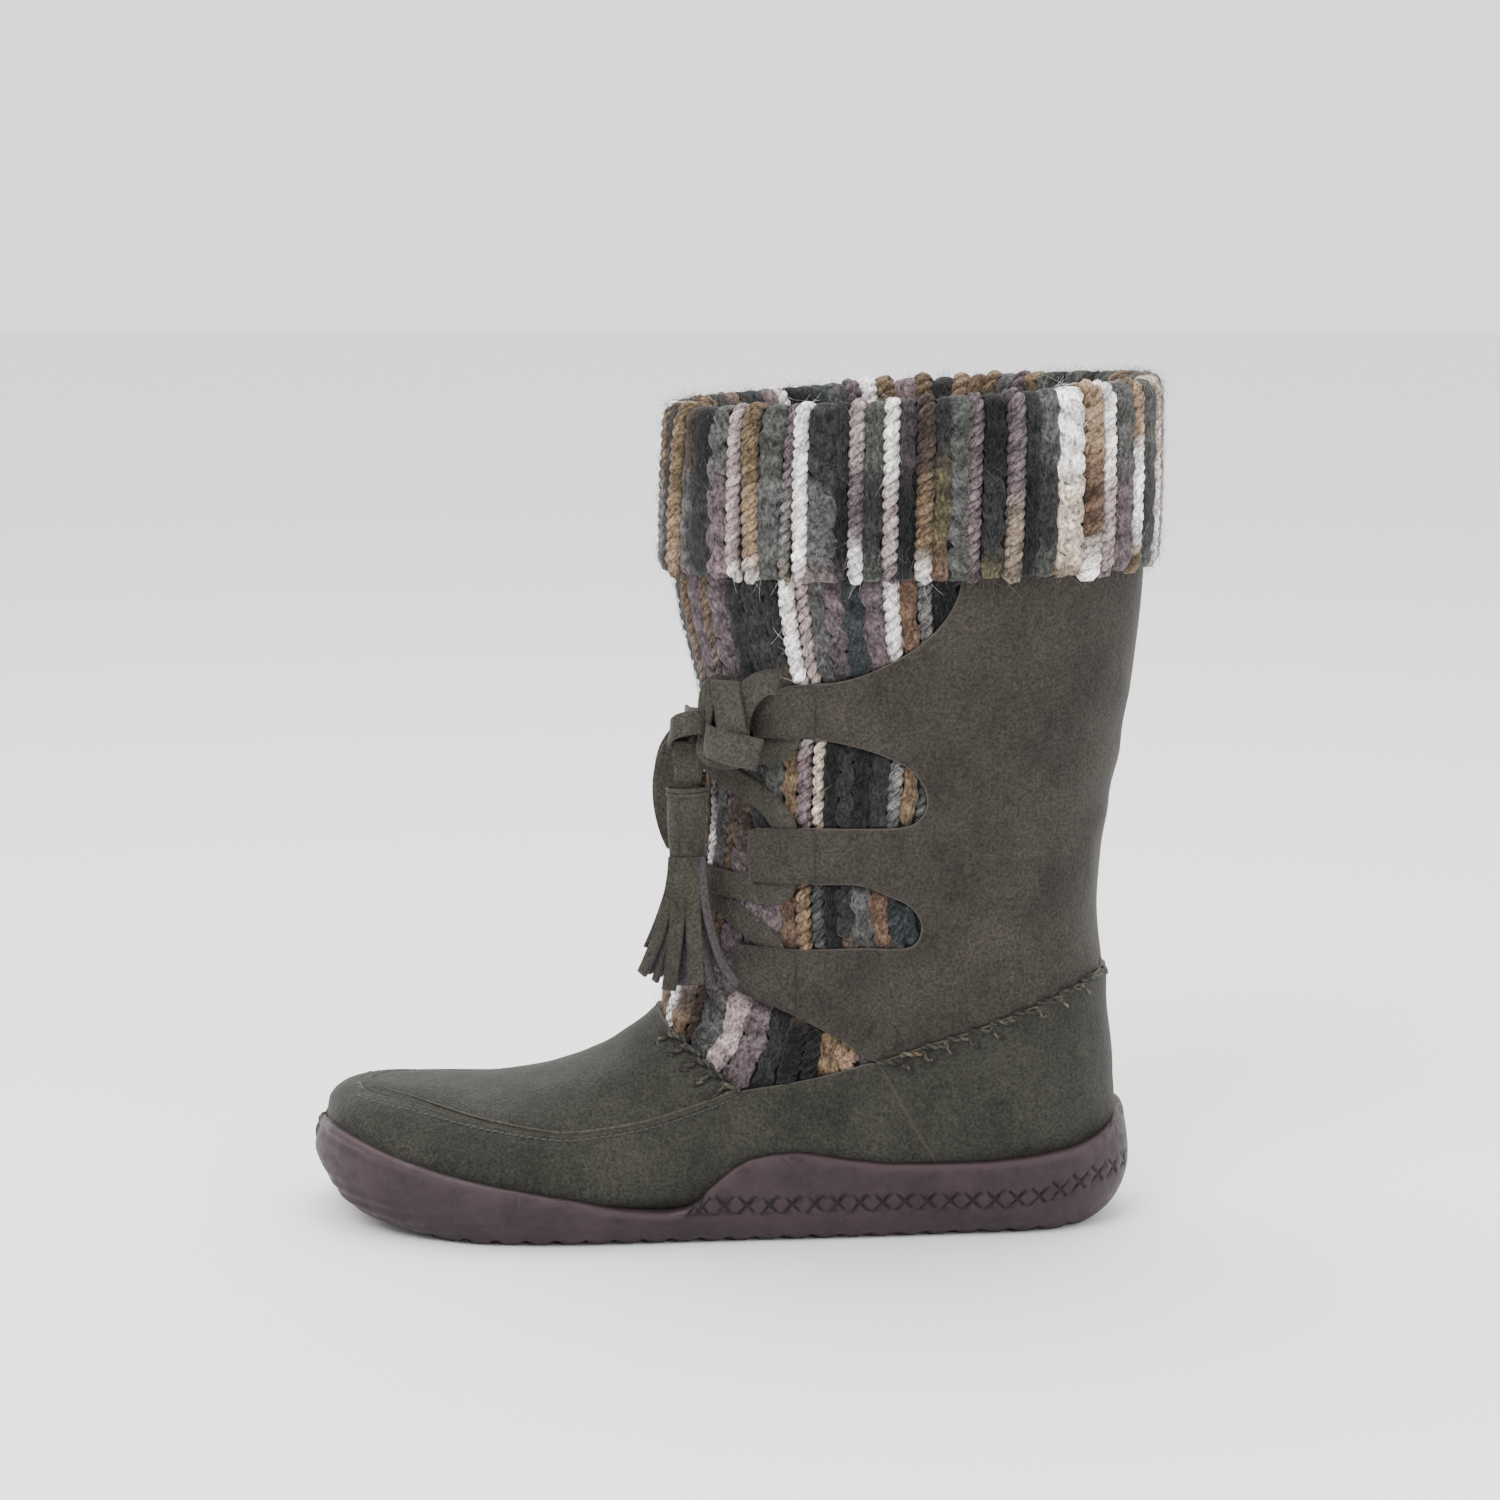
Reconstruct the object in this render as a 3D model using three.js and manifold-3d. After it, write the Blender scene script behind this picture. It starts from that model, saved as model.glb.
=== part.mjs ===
// A tall moccasin boot: suede foot with a moc-toe plug, a strapped suede shaft over a yarn-knit
// sleeve with a fold-over cuff, a criss-cross lace with two tassels, and a rubber cup sole.
// Millimetres, +Z up, toe towards -X. The near side (-Y) is the outer side of a left boot.

import * as THREE from 'three';
import { mergeVertices } from 'three/addons/utils/BufferGeometryUtils.js';
import Module from 'manifold-3d';

const wasm = await Module();
wasm.setup();

// ---------------------------------------------------------------------------
// Driving dimensions
// ---------------------------------------------------------------------------

// The foot-and-leg form is a fan of plane sections. Each station gives the front (or top) point
// and the back (or bottom) point of its section in the side view, then the half width, where the
// section is widest (share of the way from front to back), how square its front and back halves
// are, and how far the section leans off the centre plane towards the inner side.
//   frontX  frontZ   backX  backZ  half  widest front back lean
const STATIONS = [
  [-129.5, 44.0, -129.5, 13.5, 26.0, 0.62, 2.3, 3.2, 5.0],
  [-117.0, 41.4, -117.0, 11.0, 33.0, 0.64, 2.3, 3.4, 4.5],
  [-99.0, 40.3, -99.0, 9.0, 40.0, 0.66, 2.2, 3.6, 3.0],
  [-78.0, 41.1, -78.0, 8.0, 44.5, 0.68, 2.1, 3.8, 1.0],
  [-58.0, 45.0, -56.0, 8.0, 45.0, 0.70, 2.0, 3.8, -0.5],
  [-41.0, 51.8, -32.0, 8.0, 43.0, 0.70, 2.0, 3.8, -1.5],
  [-29.5, 58.8, -4.0, 8.0, 40.0, 0.68, 2.0, 3.6, -2.0],
  [-22.0, 65.0, 30.0, 8.0, 37.5, 0.65, 2.0, 3.4, -2.0],
  [-18.5, 71.5, 70.0, 8.0, 35.5, 0.62, 2.0, 3.2, -1.5],
  [-16.0, 79.0, 108.0, 8.5, 35.0, 0.60, 2.0, 3.0, -1.0],
  [-13.0, 87.0, 127.5, 23.0, 35.0, 0.58, 2.0, 2.7, -0.5],
  [-10.0, 96.0, 128.2, 48.0, 35.5, 0.56, 2.0, 2.5, 0],
  [-7.0, 106.5, 125.0, 76.0, 37.0, 0.54, 2.05, 2.35, 0],
  [-4.2, 119.0, 122.0, 104.0, 39.0, 0.52, 2.1, 2.25, 0],
  [-2.6, 136.0, 124.3, 131.0, 41.0, 0.50, 2.15, 2.2, 0],
  [-2.6, 155.0, 128.2, 156.0, 42.5, 0.50, 2.2, 2.2, 0],
  [-4.5, 174.0, 131.6, 176.0, 43.5, 0.50, 2.2, 2.2, 0],
  [-9.0, 192.0, 133.8, 194.0, 44.5, 0.50, 2.2, 2.2, 0],
  [-12.5, 211.0, 135.2, 213.0, 45.5, 0.50, 2.2, 2.2, 0],
  [-13.0, 237.0, 136.2, 240.0, 46.0, 0.50, 2.2, 2.2, 0],
  [-12.0, 261.0, 136.0, 270.0, 46.0, 0.50, 2.2, 2.2, 0],
];
const TOP = STATIONS.length - 1;

// The bottom line of the rubber sole at the same stations, flat where it treads, and how square
// its sections are below their widest point: x, z, squareness.
const SOLE_BOTTOM = [
  [-130.3, 21.0, 4.0], [-119.5, 6.6, 4.5], [-103.0, 0.6, 5.0], [-80.0, -3.0, 5.0],
  [-57.0, -3.0, 5.0], [-31.0, -3.0, 5.0], [-1.0, -3.0, 5.0], [38.0, -3.0, 4.8],
  [81.0, -3.0, 4.2], [119.0, -1.6, 3.3], [134.8, 14.5, 2.7], [132.0, 46.0, 2.6],
];

// How far each layer lies outside (+) or inside (-) of the form.
const LEATHER = [0.3, 1.8];
const STIFFENER = [-2.3, -0.3];
const KNIT = [-4.0, 0.0];
const CUFF = [2.3, 6.8];
const FLEECE_FOOT = [-5.8, -2.6];
const FLEECE_SHAFT = [-5.8, -4.3];
const FOOTBED_OUTSIDE = -6.1;
const SOLE_INSIDE = 2.1;
const SOLE_OUTSIDE = 4.9;
const TUNNEL = [1.2, 4.1];
const STRAP_END = 5.1;
const GAP = 0.3;

const LACE_WIDTH = 8.5;
const LACE_THICK = 1.3;
const THREAD_RADIUS = 0.6;

// Side-view lines (x, z) where the pieces end.
const MOC_SEAM = [
  [-150, 47.0], [-121.5, 42.6], [-119.2, 40.4], [-116.5, 39.7], [-106.8, 38.9], [-99.5, 38.2],
  [-88.8, 36.9], [-77.8, 35.7], [-64.2, 34.7], [-51.0, 34.2], [-38.0, 35.7], [-22.0, 38.7],
  [-6.0, 43.5], [6.7, 48.2],
];
const THROAT = [
  [6.7, 48.2], [1.0, 51.6], [-4.4, 56.0], [-9.0, 60.4], [-14.6, 64.0], [-20, 69], [-22, 74],
];
const KNIT_WINDOW_FOOT = [[6.7, 48.2], [22.9, 50.8], [35.8, 53.8], [47.0, 57.4], [51.0, 58.0]];
const SIDE_SEAM = [
  [51.0, 58.0], [54.4, 52.7], [59.8, 42.9], [65.3, 33.0], [69.5, 25.8], [74.0, 8.0], [76, 0],
];
const FOXING_TOP = [
  [51.0, 58.0], [64.5, 63.4], [77.2, 67.8], [89.8, 72.5], [102.4, 77.2], [115.5, 82.0],
  [122.8, 84.0], [140, 85.5],
];
const SOLE_TOP = [
  [-145, 30.2], [-134.5, 30.2], [-132.5, 31.1], [-130, 32.1], [-127, 32.3], [-121, 31.2],
  [-104.5, 26.9],
  [-89.4, 23.4], [-74.5, 20.7], [-58.6, 18.2], [-45, 15.8], [-35, 13.3], [-25.5, 12.0],
  [-16.6, 11.2], [-10, 12.5], [-6.2, 15.2], [-3.5, 18.6], [0, 21.6], [4, 25.0], [10, 28.2],
  [17, 29.6], [26, 30.0], [33, 28.9], [42, 27.3],
  [56, 25.7], [85, 25.9], [99, 26.9], [114, 28.7], [121, 30.6], [128, 34.0], [145, 37],
];
const BOARD_TOP = [
  [-132, 17.5], [-117, 14.2], [-99, 12.2], [-78, 11.2], [100, 11.2], [116, 14.5], [124, 19],
];
const FOOTBED_TOP = [
  [-128, 25.5], [-112, 21.5], [-90, 19.2], [-60, 18.6], [85, 18.6], [112, 20.5], [130, 27],
];
const SLEEVE_BOTTOM = [[-60, 72], [-38, 58], [-24, 46], [0, 38], [40, 38], [100, 49], [145, 54]];

// The shaft's front edge with its three straps; each window between two straps has a round end.
const QUARTER_FRONT = [
  [79.5, 256.0], [76.8, 224.0], [75.6, 214.8], [73.5, 207.9], [69.0, 200.7], [61.3, 193.7],
  [52.2, 188.3], [44.2, 184.7], [36.6, 182.7], [25.9, 181.5], [15.6, 179.0], [13.8, 177.2],
  [13.6, 165.9], [15.3, 164.2], [30.0, 164.4], [44.4, 161.9], [54.0, 158.6], [60.8, 154.7],
  [64.9, 148.9], [65.6, 143.1], [62.6, 138.2], [57.3, 136.3], [44.6, 135.7], [29.8, 135.2],
  [14.3, 133.8], [12.6, 132.2], [12.2, 118.2], [13.8, 116.6], [21.8, 116.7], [32.4, 116.8],
  [44.8, 117.0], [52.9, 114.2], [60.7, 110.3], [64.3, 104.7], [63.4, 99.0], [58.8, 96.3],
  [45.0, 96.0], [26.5, 94.5], [9.4, 94.1], [7.6, 92.4], [7.4, 80.0], [8.8, 78.4], [14.4, 76.2],
  [20.4, 74.4], [29.9, 69.8], [39.7, 64.8], [47.0, 59.8], [51.0, 58.0],
];

// Strap ends that fold back on themselves into lace tunnels: front x, stitched x, bottom z, top z.
const STRAP_ENDS = [
  { front: 13.0, stitched: 30.4, bottom: 163.5, top: 183.5 },
  { front: 11.5, stitched: 30.4, bottom: 116.0, top: 135.8 },
  { front: 6.8, stitched: 24.5, bottom: 72.0, top: 95.2 },
];

// Each lace is sewn into its bottom strap and climbs from side to side to the knot. Rows are
// station, degrees round from the front (own side positive) and height above the form.
const LACE_ROUTE = [
  [10.8, 49, 2.25], [11.25, 50.5, 2.25], [11.65, 49.5, 2.2], [11.95, 41, 1.6], [12.3, 24, 1.5],
  [12.6, 0, 1.5], [12.74, -20, 1.5], [12.78, -40, 1.6], [12.82, -49.5, 2.1], [13.0, -53.5, 2.25],
  [13.5, -54, 2.25], [13.95, -54, 2.25], [14.2, -51, 2.0], [14.5, -42, 1.5], [14.8, -24, 1.5],
  [15.05, 0, 1.5], [15.18, 22, 1.5], [15.2, 40, 1.7], [15.26, 50, 2.1], [15.44, 54.5, 2.25],
  [15.95, 55, 2.25], [16.35, 54.5, 2.25],
];
// The second lace passes over the first where they cross in front.
const CROSSING_LIFT = 2.0;
const CROSSING_STATIONS = [12.6, 15.05];
const CROSSING_DEGREES = 46;

// The tie at the top strap: a knot in front of the near strap, a band round the front to the far
// side, and the turns that the two hanging ends come out of.
const KNOT = [6.0, -37.0, 164.5];
const KNOT_SIZE = [13, 7, 13];
const KNOT_BAND = [
  [2, -37.5, 168], [-4, -32.5, 168.5], [-9.0, -22, 167.5], [-10.6, -8, 166], [-10.8, 8, 163.5],
  [-10.6, 18, 160.5], [-10.0, 26, 157.5],
];
const TURN_SIZE = [11, 7.5, 8.5];
const TAIL_X = -10.0;
const TAILS = {
  outer: { y: -31.0, pivot: 156.0 },
  inner: { y: 28.0, pivot: 149.5 },
};
const TAIL_LENGTH = 8.6;
const TAIL_THICK = 2.0;
const TAIL_HALF_WIDTH = 4.3;

// A tassel is a fringed strip rolled round the lace's end. Radius and height from its pivot.
const TASSEL_PROFILE = [
  [0, 5.0], [2.6, 4.5], [4.6, 2.6], [6.0, 0], [6.0, -21.5], [8.0, -33], [15.2, -57],
  [15.2, -59.5], [0, -59.5],
];
const TASSEL_FLATTEN = 0.62;

// The bow's two loops hang down inside the tassels and go back into the knot.
const BOW_LOOPS = {
  outer: [
    [-10.8, -20, 162.2], [-11.2, -21, 161.7], [-13.1, -21.8, 159.3], [-15.3, -22.2, 155.5],
    [-16.9, -22.3, 150], [-17.2, -22.2, 144], [-16.6, -21.8, 138], [-15.2, -20.8, 132],
    [-13.6, -18.2, 127], [-13.0, -14, 124.6], [-13.6, -9.8, 127], [-15.2, -7.2, 132],
    [-16.6, -6.2, 138], [-17.2, -5.8, 144], [-16.9, -5.6, 150], [-15.6, -5.4, 155],
    [-13.6, -5.4, 158.6], [-12.2, -5.4, 160.4],
  ],
  inner: [
    [-11.6, 0.6, 159.6], [-12.2, 0.4, 157.2], [-12.6, 0.2, 153], [-12.7, 0, 147],
    [-12.7, -0.1, 141], [-12.8, 0.4, 135], [-13.0, 1.6, 130.5], [-13.1, 4.2, 127.3],
    [-13.2, 7.6, 126.3], [-13.1, 11, 127.3], [-13.0, 13.4, 130.5], [-12.8, 14.6, 135],
    [-12.7, 15.1, 141], [-12.7, 15.2, 147], [-12.5, 15.0, 152], [-12.2, 14.8, 156],
  ],
};

// Whip stitches: how many along the foxing's top edge and the throat, and how far they reach.
const FOXING_STITCHES = 10;
const THROAT_STITCHES = 5;
const STITCH_REACH = 2.6;
const THROAT_INSET = 5.5; // the throat's row runs this far inside its edge
const THREAD_CLEARANCE = 0.6;

// ---------------------------------------------------------------------------
// Materials
// ---------------------------------------------------------------------------

const finish = (color, roughness, metalness = 0) =>
  new THREE.MeshStandardMaterial({ color, roughness, metalness });
const footSuede = finish('#4a4c3e', 0.95);
const shaftSuede = finish('#545246', 0.95);
const laceSuede = finish('#50513f', 0.95);
const wool = finish('#6b6360', 1.0);
const rubber = finish('#4e3836', 0.75);
const fleece = finish('#b8ad98', 1.0);
const foam = finish('#8a8270', 0.9);
const board = finish('#9b7b52', 0.85);
const stiffener = finish('#cfc8b8', 0.6);
const steel = finish('#9a9ca0', 0.35, 1.0);
const thread = finish('#6a6347', 0.8);

// ---------------------------------------------------------------------------
// The form
// ---------------------------------------------------------------------------

// Value of column k of a table at a station, on a smooth curve through the rows.
function columnAt(table, u, k) {
  const last = table.length - 1;
  const i = Math.min(Math.max(Math.floor(u), 0), last - 1);
  const t = u - i;
  const before = table[Math.max(i - 1, 0)][k];
  const a = table[i][k];
  const b = table[i + 1][k];
  const after = table[Math.min(i + 2, last)][k];
  const slopeA = (b - before) / (i > 0 ? 2 : 1);
  const slopeB = (after - a) / (i + 1 < last ? 2 : 1);
  const t2 = t * t;
  const t3 = t2 * t;
  return (2 * t3 - 3 * t2 + 1) * a + (t3 - 2 * t2 + t) * slopeA
    + (3 * t2 - 2 * t3) * b + (t3 - t2) * slopeB;
}

const NOSE = 2.0; // the toe rounds off over the first two stations

// One section of the form grown outwards by `off`; a sole section has a lowered bottom.
function section(u, off, sole = false) {
  const c = (k) => columnAt(STATIONS, u, k);
  let front = new THREE.Vector2(c(0), c(1));
  let back = new THREE.Vector2(c(2), c(3));
  const middle = front.clone().lerp(back, c(5));
  const along = back.clone().sub(front).normalize();
  front.addScaledVector(along, -off);
  if (sole) back.set(columnAt(SOLE_BOTTOM, u, 0), columnAt(SOLE_BOTTOM, u, 1));
  else back.addScaledVector(along, off);
  let half = c(4) + off;
  const powers = sole ? [c(6), columnAt(SOLE_BOTTOM, u, 2)] : [c(6), c(7)];
  const q = Math.max(0, 1 - u / NOSE);
  const round = (1 - q ** 2.2) ** (1 / 2.2);
  const tall = 0.42 + 0.58 * round;
  half *= 0.12 + 0.88 * round;
  front = middle.clone().lerp(front, tall);
  if (!sole) back = middle.clone().lerp(back, tall);
  return { front, back, middle, half, powers, lean: c(8), nose: -off * q };
}

// A point of the form: station u, angle phi from the front (positive on the near side).
function pointOn(u, phi, off, sole = false) {
  const s = section(u, off, sole);
  const cos = Math.cos(phi);
  const sin = Math.sin(phi);
  const target = cos >= 0 ? s.front : s.back;
  const power = cos >= 0 ? s.powers[0] : s.powers[1];
  const p = s.middle.clone().lerp(target, Math.abs(cos) ** (2 / power));
  const side = Math.abs(sin) ** (2 / power) * Math.sign(sin);
  return new THREE.Vector3(p.x + s.nose, s.lean - side * s.half, p.y);
}

// Outward direction of the form, in world space.
function outwardAt(u, phi) {
  const d = 0.02;
  const alongU = pointOn(Math.min(u + d, TOP), phi, 0).sub(pointOn(u - d, phi, 0));
  const alongPhi = pointOn(u, phi + d, 0).sub(pointOn(u, phi - d, 0));
  return alongPhi.cross(alongU).normalize();
}

// ---------------------------------------------------------------------------
// Solids
// ---------------------------------------------------------------------------

const AROUND = 20;
const ROWS = [0, 0.25, 0.8, 1.5, 2.5, 4, 5.5, 7, 8, 9, 9.7, 10.5, 11.5, 13, 14.5, 16, 17.5, 18.7, 20];

function geometryFrom(positions, index) {
  const geometry = new THREE.BufferGeometry();
  geometry.setAttribute('position', new THREE.Float32BufferAttribute(positions, 3));
  geometry.setIndex(index);
  return geometry;
}

// Turns a closed geometry into a manifold solid.
function solid(geometry) {
  const bare = geometry.clone();
  bare.deleteAttribute('normal');
  bare.deleteAttribute('uv');
  const merged = mergeVertices(bare, 1e-5);
  return new wasm.Manifold(new wasm.Mesh({
    numProp: 3,
    vertProperties: new Float32Array(merged.attributes.position.array),
    triVerts: new Uint32Array(merged.index.array),
  }));
}

// Skin through a list of closed rings of points. Open ends are capped unless it is a loop.
function skin(rings, loop = false) {
  const n = rings[0].length;
  const positions = rings.flat().flatMap((p) => [p.x, p.y, p.z]);
  const index = [];
  const last = loop ? rings.length : rings.length - 1;
  for (let r = 0; r < last; r++) {
    const next = (r + 1) % rings.length;
    for (let k = 0; k < n; k++) {
      const k2 = (k + 1) % n;
      const a = r * n + k;
      const b = r * n + k2;
      const c = next * n + k2;
      const d = next * n + k;
      index.push(a, b, c, a, c, d);
    }
  }
  if (!loop) {
    for (const r of [0, rings.length - 1]) {
      const centre = new THREE.Vector3();
      rings[r].forEach((p) => centre.add(p));
      centre.divideScalar(n);
      const hub = positions.length / 3;
      positions.push(centre.x, centre.y, centre.z);
      for (let k = 0; k < n; k++) {
        const a = r * n + k;
        const b = r * n + (k + 1) % n;
        index.push(...(r === 0 ? [hub, b, a] : [hub, a, b]));
      }
    }
  }
  return geometryFrom(positions, index);
}

function ring(u, off, lift = 0, sole = false) {
  const points = [];
  for (let k = 0; k < AROUND; k++) {
    const p = pointOn(u, 2 * Math.PI * k / AROUND, off, sole);
    p.z += lift;
    points.push(p);
  }
  return points;
}

const PAST_TOP = TOP + 0.04; // a form that hollows another out runs a little past its top

// The whole form grown by `off`, as a solid, up to station `top`.

function form(off, top = TOP) {
  const rows = ROWS.filter((u) => u < top - 0.1).concat(top);
  return solid(skin(rows.map((u) => ring(u, off))));
}

const shell = ([inner, outer]) => form(outer).subtract(form(inner, PAST_TOP));

// A side-view outline (x, z) cut right across the boot, from y = from to y = to.
function across(outline, from = -90, to = 90) {
  const shape = new THREE.Shape(outline.map(([x, z]) => new THREE.Vector2(x, z)));
  const geometry = new THREE.ExtrudeGeometry(shape, { depth: to - from, bevelEnabled: false });
  geometry.rotateX(Math.PI / 2);
  geometry.translate(0, to, 0);
  return solid(geometry);
}

const moved = (line, dx, dz) => line.map(([x, z]) => [x + dx, z + dz]);
const reversed = (line) => [...line].reverse();

// Region between a left-to-right line and a level far above or below it.
const above = (line, top = 400) =>
  across([...line, [line[line.length - 1][0], top], [line[0][0], top]]);
const below = (line, bottom = -50) =>
  across([...line, [line[line.length - 1][0], bottom], [line[0][0], bottom]]);

const box = (x0, x1, y0, y1, z0, z1) => {
  const geometry = new THREE.BoxGeometry(x1 - x0, y1 - y0, z1 - z0);
  geometry.translate((x0 + x1) / 2, (y0 + y1) / 2, (z0 + z1) / 2);
  return solid(geometry);
};

// A band along points: `section` lists (across, out) corners, and `outwards` gives the outward
// direction at each point.
function band(points, outwards, section) {
  const rings = points.map((p, i) => {
    const ahead = points[Math.min(i + 1, points.length - 1)];
    const behind = points[Math.max(i - 1, 0)];
    const along = ahead.clone().sub(behind).normalize();
    const side = outwards[i].clone().cross(along).normalize();
    const out = along.clone().cross(side).normalize();
    return section.map(([a, b]) => p.clone().addScaledVector(side, a).addScaledVector(out, b));
  });
  return solid(skin(rings));
}

const flat = (width, thick) => [
  [width / 2, thick / 2], [-width / 2, thick / 2], [-width / 2, -thick / 2], [width / 2, -thick / 2],
];
const rounded = (width, thick) => [
  [width / 2, thick / 4], [width / 3, thick / 2], [-width / 3, thick / 2], [-width / 2, thick / 4],
  [-width / 2, -thick / 4], [-width / 3, -thick / 2], [width / 3, -thick / 2], [width / 2, -thick / 4],
];

// Points on a smooth curve through the given ones.
function smooth(points, perSpan) {
  const curve = new THREE.CatmullRomCurve3(points, false, 'centripetal');
  return curve.getPoints((points.length - 1) * perSpan);
}

// ---------------------------------------------------------------------------
// Pieces
// ---------------------------------------------------------------------------

const boot = new THREE.Group();

function add(name, part, material) {
  const mesh = part.getMesh();
  const mergedBack = geometryFrom(Array.from(mesh.vertProperties), Array.from(mesh.triVerts));
  const piece = new THREE.Mesh(mergedBack, material);
  piece.name = name;
  boot.add(piece);
}

const SIDES = [
  { name: 'outer', sign: 1, from: -90, to: -0.15 },
  { name: 'inner', sign: -1, from: 0.15, to: 90 },
];

// --- sole and inside of the shoe ---

const SHANK = { x0: 12, x1: 96, half: 7, z0: 3.9, z1: 5.2 };

function outsole() {
  const rows = ROWS.filter((u) => u <= 11);
  const outside = solid(skin(rows.map((u) => ring(u, SOLE_OUTSIDE, 0, true))));
  const recess = box(
    SHANK.x0 - GAP, SHANK.x1 + GAP, -SHANK.half - GAP, SHANK.half + GAP, SHANK.z0 - GAP, SHANK.z1 + 2,
  );
  return outside.intersect(below(SOLE_TOP, 0)).subtract(form(SOLE_INSIDE)).subtract(recess);
}

const shank = () => box(SHANK.x0, SHANK.x1, -SHANK.half, SHANK.half, SHANK.z0, SHANK.z1);

const insoleBoard = () => shell(STIFFENER).intersect(below(BOARD_TOP));

const footbed = () => form(FOOTBED_OUTSIDE).intersect(below(FOOTBED_TOP));

const HEEL_REGION = [[90, 0], [92, 36], [112, 43], [150, 47], [150, 0]];
const TOE_REGION = [[-150, 0], [-150, 80], [-98, 80], [-94, 0]];

function heelCounter() {
  const board = moved([[80, 11.2], ...BOARD_TOP.slice(4), [150, 30]], 0, GAP);
  return shell(STIFFENER).intersect(across(HEEL_REGION)).subtract(below(board));
}

function toePuff() {
  const board = moved([[-150, 24], ...BOARD_TOP], 0, GAP);
  return shell(STIFFENER).intersect(across(TOE_REGION)).subtract(below(board));
}

const LINING_TOP = 18.7; // the station of its upper edge
const FOREFOOT_REGION = [[-150, -20], [-150, 90], [-59, 90], [-59, -20]];

// Thicker in the foot, where no knit lies between it and the leather.
function lining() {
  const underSleeve = below(moved(SLEEVE_BOTTOM, 0, -GAP));
  const foot = form(FLEECE_FOOT[1], LINING_TOP).intersect(underSleeve.add(across(FOREFOOT_REGION)));
  return form(FLEECE_SHAFT[1], LINING_TOP).add(foot).subtract(form(FLEECE_SHAFT[0]));
}

// --- knit sleeve: up the leg, over the rim, and down outside as the cuff ---

// The cuff's section: station, distance out from the form, and height above the station.
const CUFF_HEM = 18.25;
const CUFF_SECTION = [
  [19.7, -2, 0], [19.85, 1.1, 0], [19.7, CUFF[0], 0], [18.7, CUFF[0], 0], [CUFF_HEM, CUFF[0] + 0.4, 0],
  [CUFF_HEM - 0.05, 4.6, 0], [CUFF_HEM, CUFF[1] - 0.2, 0], [18.7, CUFF[1] + 0.2, 0], [20, CUFF[1], 0],
  [20, 6.3, 2.6], [20, 4.6, 4.8], [20, 2.0, 5.8], [20, -0.8, 5.2], [20, -3.0, 3.0], [19.95, -3.7, 0],
];

function knitSleeve() {
  const cuff = solid(skin(CUFF_SECTION.map(([u, off, lift]) => ring(u, off, lift)), true));
  return form(KNIT[1]).add(cuff).subtract(form(KNIT[0], PAST_TOP)).intersect(above(SLEEVE_BOTTOM));
}

// --- upper ---

const leather = shell(LEATHER);

function vampPlug() {
  const seam = moved(MOC_SEAM, 0, GAP / 2);
  const throat = moved(THROAT, 0, GAP / 2).slice(1);
  return leather.intersect(across([...seam, ...throat, [-22, 90], [-150, 90]]));
}

function vampWall() {
  const top = moved([...MOC_SEAM, ...KNIT_WINDOW_FOOT.slice(1)], 0, -GAP / 2);
  const back = moved(SIDE_SEAM, -GAP / 2, 0).slice(1);
  return leather.intersect(across([...top, ...back, [76, -30], [-150, -30]]));
}

function heelFoxing() {
  const front = reversed(moved(SIDE_SEAM, GAP / 2, 0)).slice(0, -1);
  return leather.intersect(across([[76, -30], ...front, ...moved(FOXING_TOP, 0, -GAP / 2), [140, -30]]));
}

// Solid leather in front of and behind each lace tunnel, and how far the cutting boxes run past.
const FOLD_FRONT = 1.3;
const FOLD_BACK = 1.6;
const PAST_FOLD = 2;
const PAST_TUNNEL = 6;

// One half of the shaft: a panel with three straps whose ends are folded into lace tunnels.
function quarter(side) {
  const lower = moved(FOXING_TOP, 0, GAP / 2).slice(1);
  const outline = [...QUARTER_FRONT, ...lower, [160, 120], [160, 258], [110, 257]];
  let panel = leather.intersect(across(outline, side.from, side.to));
  const thick = shell([LEATHER[0], STRAP_END]);
  const hole = shell(TUNNEL);
  const face = across(outline, side.from, side.to);
  for (const { front, stitched, bottom, top } of STRAP_ENDS) {
    const fold = box(front - PAST_FOLD, stitched, side.from, side.to, bottom - PAST_FOLD, top + PAST_FOLD);
    const way = box(
      front + FOLD_FRONT, stitched - FOLD_BACK, side.from, side.to, bottom - PAST_TUNNEL, top + PAST_TUNNEL,
    );
    panel = panel.add(thick.intersect(face).intersect(fold)).subtract(hole.intersect(way));
  }
  return panel;
}

// --- lace, knot, loops and tassels ---

const CROSSING_REACH = 0.7; // stations either side of a crossing where the upper lace is lifted
const CROSSING_FLAT = 0.55; // share of the crossing's angle over which it is fully lifted

function lace(side) {
  const lifted = side.sign < 0;
  const points = [];
  const outwards = [];
  const route = new THREE.CatmullRomCurve3(
    LACE_ROUTE.map(([u, degrees, height]) => new THREE.Vector3(u * 10, degrees, height)),
  );
  for (const r of route.getPoints(52)) {
    const u = r.x / 10;
    const phi = THREE.MathUtils.degToRad(r.y) * side.sign;
    let height = r.z;
    if (lifted) {
      const near = Math.min(...CROSSING_STATIONS.map((c) => Math.abs(u - c)));
      const full = CROSSING_FLAT * CROSSING_DEGREES;
      const lift = 1 - THREE.MathUtils.smoothstep(Math.abs(r.y), full, CROSSING_DEGREES);
      if (near < CROSSING_REACH) height += CROSSING_LIFT * lift;
    }
    const out = outwardAt(u, phi);
    points.push(pointOn(u, phi, 0).addScaledVector(out, height));
    outwards.push(out);
  }
  return band(points, outwards, flat(LACE_WIDTH, LACE_THICK));
}

const TURN_GAP = 0.4;
const TURN_TAPER = 1.2; // a turn's top over its bottom
const KNOT_BAND_THICK = 2.2;
const LUMP_GROWTH = 1.12; // makes up for the lump's coarse facets

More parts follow.
